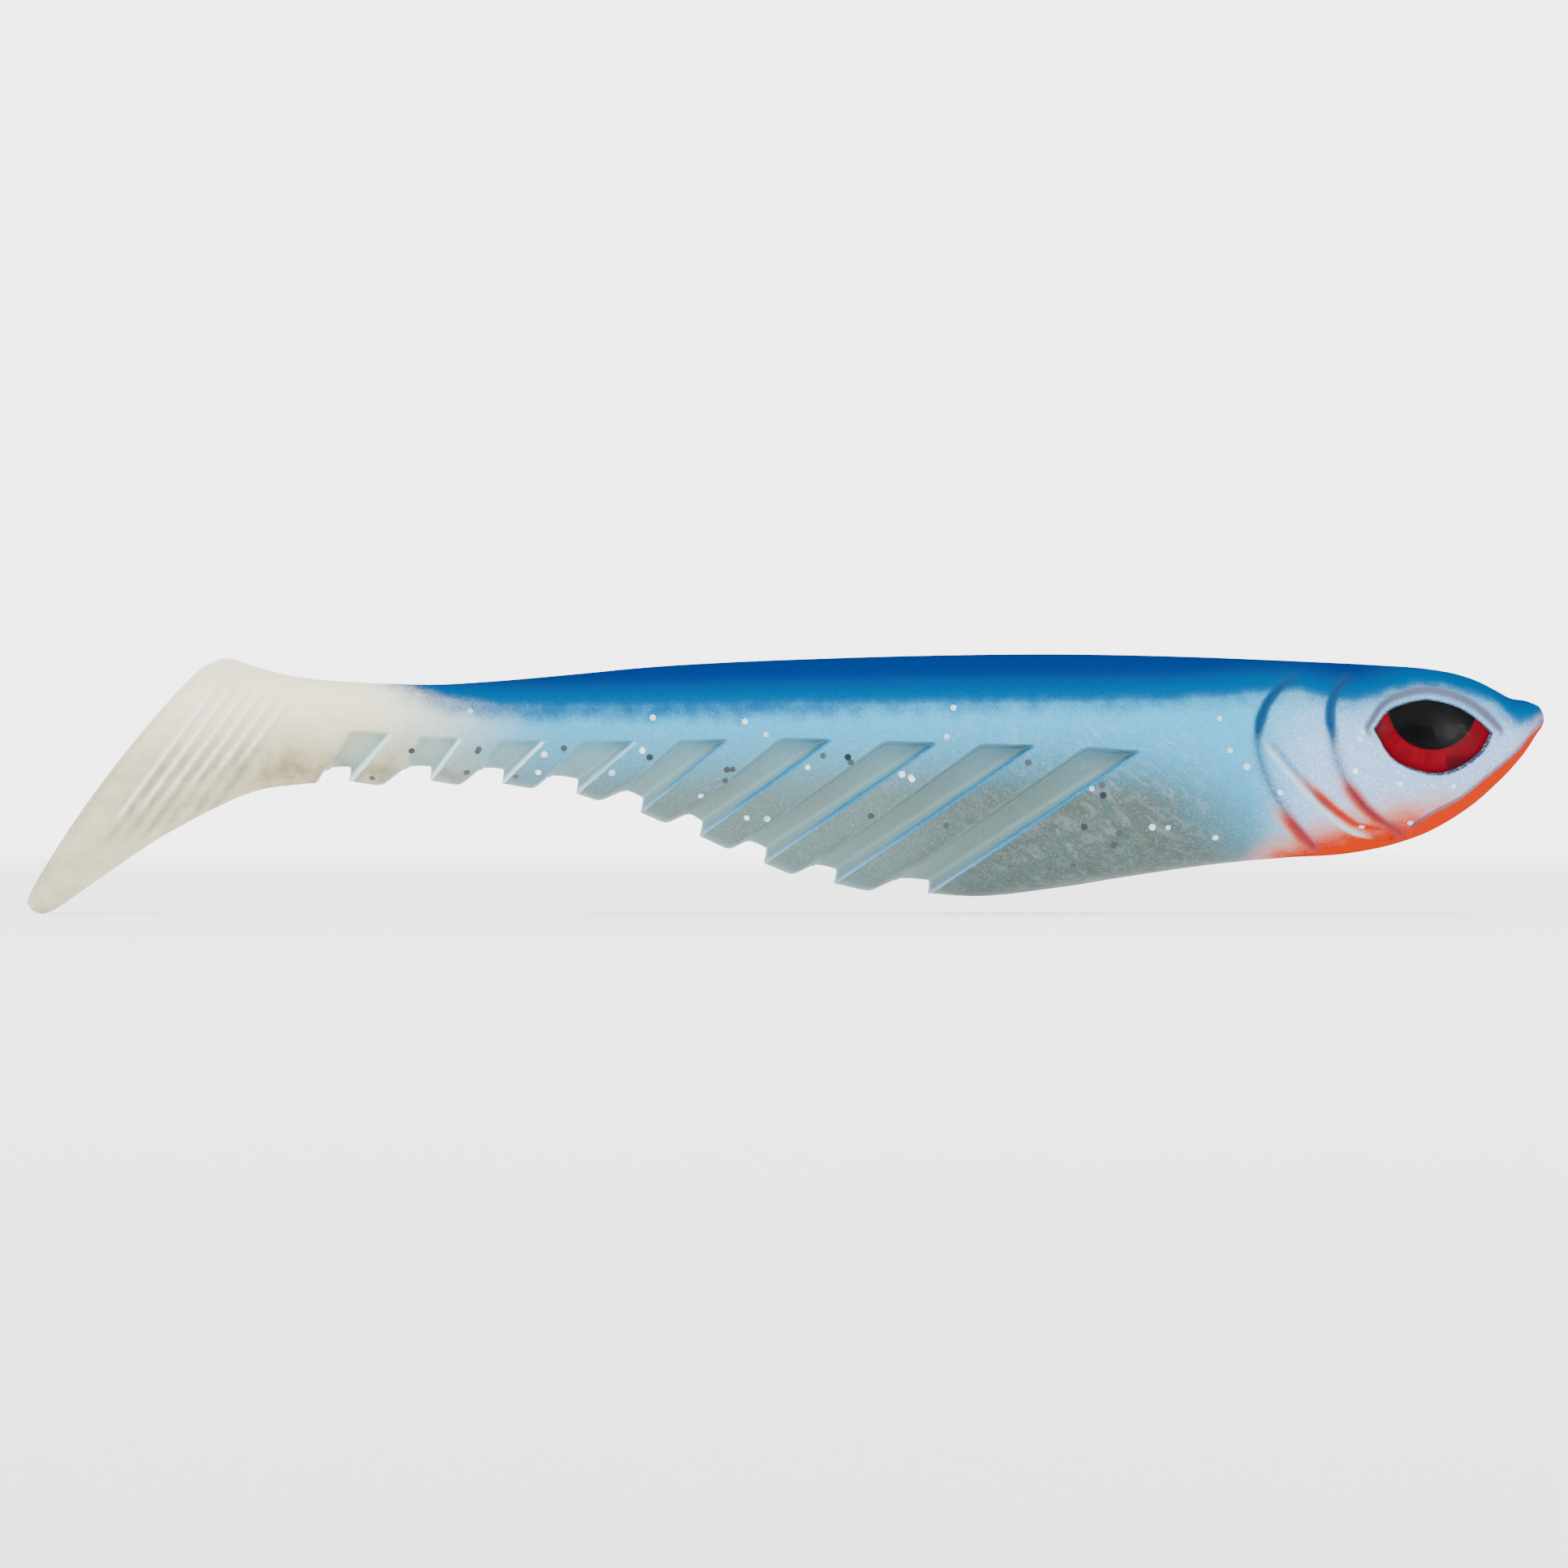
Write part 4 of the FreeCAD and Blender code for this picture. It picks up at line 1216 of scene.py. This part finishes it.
def flank_at(x, z):
    """How far out the plain flank of the head stands."""
    top, foot = back_at(x), near_nose(x, BELLY, NOSE_TIP_Z)
    height = np.clip(np.abs((z - (top + foot) / 2) / ((top - foot) / 2)), 0, 0.985)
    share = (1 - height ** BODY_FULLNESS) ** (1 / BODY_FULLNESS)
    return half_width_at(x) * share


def eye_disc_points(reach, sunk, crown):
    """A curved disc inside the eye's outline, following the flank of the head."""
    middle = np.array(EYE_MIDDLE)
    rings = []
    for ring in range(EYE_RINGS + 1):
        share = ring / EYE_RINGS
        xz = middle + (EYE_OUTLINE[:-1] - middle) * share * reach
        out = flank_at(xz[:, 0], xz[:, 1]) - sunk + crown * (1 - (share * reach) ** 2)
        rings.append(np.stack([xz[:, 0], out, xz[:, 1]], axis=1))
    return np.array(rings)


def disc_mesh(name, rings, side, masks=None):
    """A fan of rings as a mesh on one side of the head, facing outwards."""
    count = rings.shape[1]
    points = np.concatenate([rings[0, :1], rings[1:].reshape(-1, 3)])
    points = points * (1, side, 1)
    faces = []
    for spoke in range(count):
        after = (spoke + 1) % count
        faces.append((0, 1 + spoke, 1 + after))
        for ring in range(rings.shape[0] - 2):
            a, b = 1 + ring * count, 1 + (ring + 1) * count
            faces.append((a + spoke, b + spoke, b + after, a + after))
    if side < 0:
        faces = [face[::-1] for face in faces]
    return new_mesh(name, points, faces, None, masks(points) if masks else None)


def foil_masks(points):
    """Where the foil's print lies: pupil, a darker iris front that is partly a painted dark
    reflection, faint painted reflections.
    """
    x, z = points[:, 0], points[:, 2]
    dx, dz = x - PUPIL_MIDDLE[0], z - PUPIL_MIDDLE[1]
    return {
        "pupil_distance": np.hypot(dx, dz),
        "pupil_turn": np.arctan2(dz, dx),
        # partly print, partly a painted dark reflection of the studio in the lens
        "foil_shade": np.maximum(0.5 * ease(-9.4, -7.6, x),
                                 ease(-8.65, -8.45, x) * ease(-2.6, -3.7, z)),
        # painted light reflections of the lens
        "lens_reflection": bell(np.hypot(x + 8.0, z + 1.2), 1.3)
                     + 0.7 * bell(np.hypot(x + 14.2, z + 1.1), 0.7),
    }


LENS = lens_material()
FOIL = foil_material()
ADHESIVE = adhesive_material()


def make_eye(word, side):
    """A domed clear lens over a printed foil; the pad behind it is the CAD one."""
    lens = disc_mesh(f"{word}_lens_dome", eye_disc_points(reach=1.07, sunk=0.34, crown=0.62), side)
    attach(dress(lens, LENS, (f"{word}_eye_lens",)), "trunk")
    foil = disc_mesh(f"{word}_foil_print", eye_disc_points(reach=1.1, sunk=0.62, crown=0.42), side,
                     foil_masks)
    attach(dress(foil, FOIL, (f"{word}_eye_foil",)), "trunk")
    pad = frame["nodes"][f"{word}_eye_adhesive"]
    for slot in pad.material_slots:
        slot.material = ADHESIVE


# ---------------- glitter

FLAKE_RADIUS = 0.29
FLAKE_LIFTS = (0.036, 0.0)      # of a flake's outer and inner face above the skin
FLAKE_TILT = 0.12
FLAKE_FACES = [list(range(6)), list(range(11, 5, -1))]
FLAKE_FACES += [[i, i + 6, (i + 1) % 6 + 6, (i + 1) % 6] for i in range(6)]
BRIGHT_ROOM = (0, -11.0, 1.0)           # behind this x, and between these heights
DARK_ROOM = (-32, -13.5, -2.5)
LEAST_SIDEWAYS = 0.6            # part of the skin's normal where a flake may lie
GLITTER = glitter_material()


def point_labels():
    """The label at each grid point: that of the cell behind it."""
    return np.concatenate([LABELS, LABELS[-1:]], axis=0)


def flake_sites(labels, count, ahead, low, high, chance):
    """Grid points for flakes on both flanks, behind one place and between two heights."""
    near = point_labels()
    x, z = POINTS[..., 0], POINTS[..., 2]
    outward = np.abs(NORMALS[..., 1]) > LEAST_SIDEWAYS
    open_skin = (MASKS["line"] < 0.2) & (MASKS["floor"] < 0.01) & (MASKS["lid"] < 0.01)
    open_skin &= MASKS["crease_shade"] < 0.2
    allowed = np.isin(near, labels) & outward & open_skin & (z > low) & (z < high)
    allowed &= x < ahead
    rows, columns = np.nonzero(allowed)
    area = np.abs(np.gradient(x, axis=0)) * np.abs(np.gradient(z, axis=1))
    weight = area[rows, columns]
    picked = chance.choice(len(rows), size=count, replace=False, p=weight / weight.sum())
    return rows[picked], columns[picked]


def flake(middle, normal, chance):
    """The twelve corners of a thin hexagon, and how deep in the plastic it seems to lie."""
    tilted = normal + Vector(chance.uniform(-FLAKE_TILT, FLAKE_TILT, 3))
    across = tilted.orthogonal().normalized()
    along = tilted.cross(across).normalized()
    spin = chance.uniform(0, math.pi / 3)
    depth = chance.uniform() ** 0.8
    radius = FLAKE_RADIUS * chance.uniform(0.85, 1.1)
    corners = []
    for lift in FLAKE_LIFTS:
        for corner in range(6):
            turn = spin + corner * math.pi / 3
            corners.append(middle + tilted.normalized() * lift
                           + across * radius * math.cos(turn)
                           + along * radius * math.sin(turn))
    return corners, depth


def make_flakes(name, body, labels, bright, dark, chance):
    """Flakes that ride on one body: bright ones at most heights, dark ones low."""
    points, faces, tones, depths = [], [], [], []
    for tone, count, room in ((1.0, bright, BRIGHT_ROOM), (0.0, dark, DARK_ROOM)):
        if not count:
            continue
        for row, column in zip(*flake_sites(labels, count, *room, chance)):
            middle, normal = Vector(POINTS[row, column]), Vector(NORMALS[row, column])
            corners, depth = flake(middle, normal, chance)
            faces += [[len(points) + corner for corner in face] for face in FLAKE_FACES]
            points += corners
            tones += [tone] * len(corners)
            depths += [depth] * len(corners)
    masks = {"flake_tone": np.array(tones), "flake_depth": np.array(depths)}
    flakes = new_mesh(name, np.array(points), faces, None, masks)
    flakes.data.polygons.foreach_set("use_smooth", np.zeros(len(faces), bool))
    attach(dress(flakes, GLITTER), body)


def make_glitter():
    """More flakes on the wide front ribs than on the short rear ones."""
    chance = np.random.default_rng(7)
    make_flakes("glitter_head", "trunk", ["head_skin"], 18, 0, chance)
    make_flakes("glitter_trunk", "trunk", ["trunk_skin"], 18, 16, chance)
    for number in RIBS:
        bright, dark = (6, 6) if number < 5 else (4, 3)
        make_flakes(f"glitter_rib_{number}", f"rib_{number}", [f"rib_{number}_skin"],
                    bright, dark, chance)


# ---------------- camera, floor and light

VIEW_WIDTH = 134.1 * MM
VIEW_MIDDLE = Vector((-65.0 * MM, 0, -5.7 * MM))
LENS_MM = 500
SENSOR_MM = 36


def make_camera():
    """Square on to the right flank, from far off through a long lens."""
    data = bpy.data.cameras.new("camera")
    data.lens, data.sensor_width = LENS_MM, SENSOR_MM
    data.dof.use_dof = False
    away = VIEW_WIDTH * LENS_MM / SENSOR_MM
    data.clip_start, data.clip_end = 0.05, 40
    camera = add_object("camera", data)
    camera.location = VIEW_MIDDLE + Vector((0, -away, 0))
    camera.rotation_euler = (math.pi / 2, 0, 0)
    bpy.context.scene.camera = camera


FLOOR_WHITE = paint(0.93, 0.93, 0.93)
FLOOR_GLOW = 0.9


def floor_material():
    """Almost white, and glowing a little, as a lit table does."""
    g = Graph("floor")
    return g.finish(Base_Color=FLOOR_WHITE, Roughness=0.7,
                    Emission_Color=(1, 1, 1, 1), Emission_Strength=FLOOR_GLOW)


FLOOR_NEAR_Y, FLOOR_FAR_Y = -3.0, 2.0      # the stage is in metres
BACKDROP_RADIUS, BACKDROP_STEPS = 0.5, 16
BACKDROP_HEIGHT = 2.2
HALF_STAGE = 2.6


def make_floor():
    """A pale floor that curves up into a backdrop well behind the lure."""
    low = CAD_BOUNDS[0].z
    profile = [(FLOOR_NEAR_Y, low), (FLOOR_FAR_Y, low)]
    for step in range(1, BACKDROP_STEPS + 1):
        turn = math.pi / 2 * step / BACKDROP_STEPS
        profile.append((FLOOR_FAR_Y + BACKDROP_RADIUS * math.sin(turn),
                        low + BACKDROP_RADIUS * (1 - math.cos(turn))))
    profile.append((FLOOR_FAR_Y + BACKDROP_RADIUS, low + BACKDROP_HEIGHT))
    points = [(side * HALF_STAGE, y, z) for y, z in profile for side in (-1, 1)]
    faces = [(2 * i, 2 * i + 1, 2 * i + 3, 2 * i + 2) for i in range(len(profile) - 1)]
    mesh = bpy.data.meshes.new("floor")
    mesh.from_pydata(points, [], faces)
    mesh.polygons.foreach_set("use_smooth", [True] * len(faces))
    mesh.materials.append(floor_material())
    floor = add_object("floor", mesh)


WORLD_LIGHT = 0.9
SOFT_BOXES = (
    # name, watts, width, height, place, and the point that it faces
    ("key", 41, 2.2, 1.6, (0.1, -1.0, 1.3), (0, -0.4, 0)),
    ("left", 9, 0.7, 0.7, (-1.0, -0.9, 0.35), VIEW_MIDDLE),
    ("right", 9, 0.7, 0.7, (0.9, -0.9, 0.35), VIEW_MIDDLE),
    ("backdrop", 60, 2.6, 0.5, (0, 1.95, 1.5), (0, 2.45, 0.1)),
)


def soft_light(name, watts, width, height, place, aim):
    """A rectangular soft box turned towards a point."""
    data = bpy.data.lights.new(name, "AREA")
    data.energy, data.shape = watts, "RECTANGLE"
    data.size, data.size_y = width, height
    light = add_object(name, data)
    light.location = place
    direction = Vector(aim) - light.location
    light.rotation_euler = direction.to_track_quat("-Z", "Y").to_euler()


def make_light():
    """Boxes above and to both sides; little light from the camera's own direction."""
    world = bpy.data.worlds.new("studio")
    world.use_nodes = True
    background = world.node_tree.nodes["Background"]
    background.inputs["Color"].default_value = (1, 1, 1, 1)
    background.inputs["Strength"].default_value = WORLD_LIGHT
    bpy.context.scene.world = world
    for box in SOFT_BOXES:
        soft_light(*box)


make_skin()
make_eye("right", -1)
make_eye("left", 1)
make_glitter()
make_camera()
make_floor()
make_light()
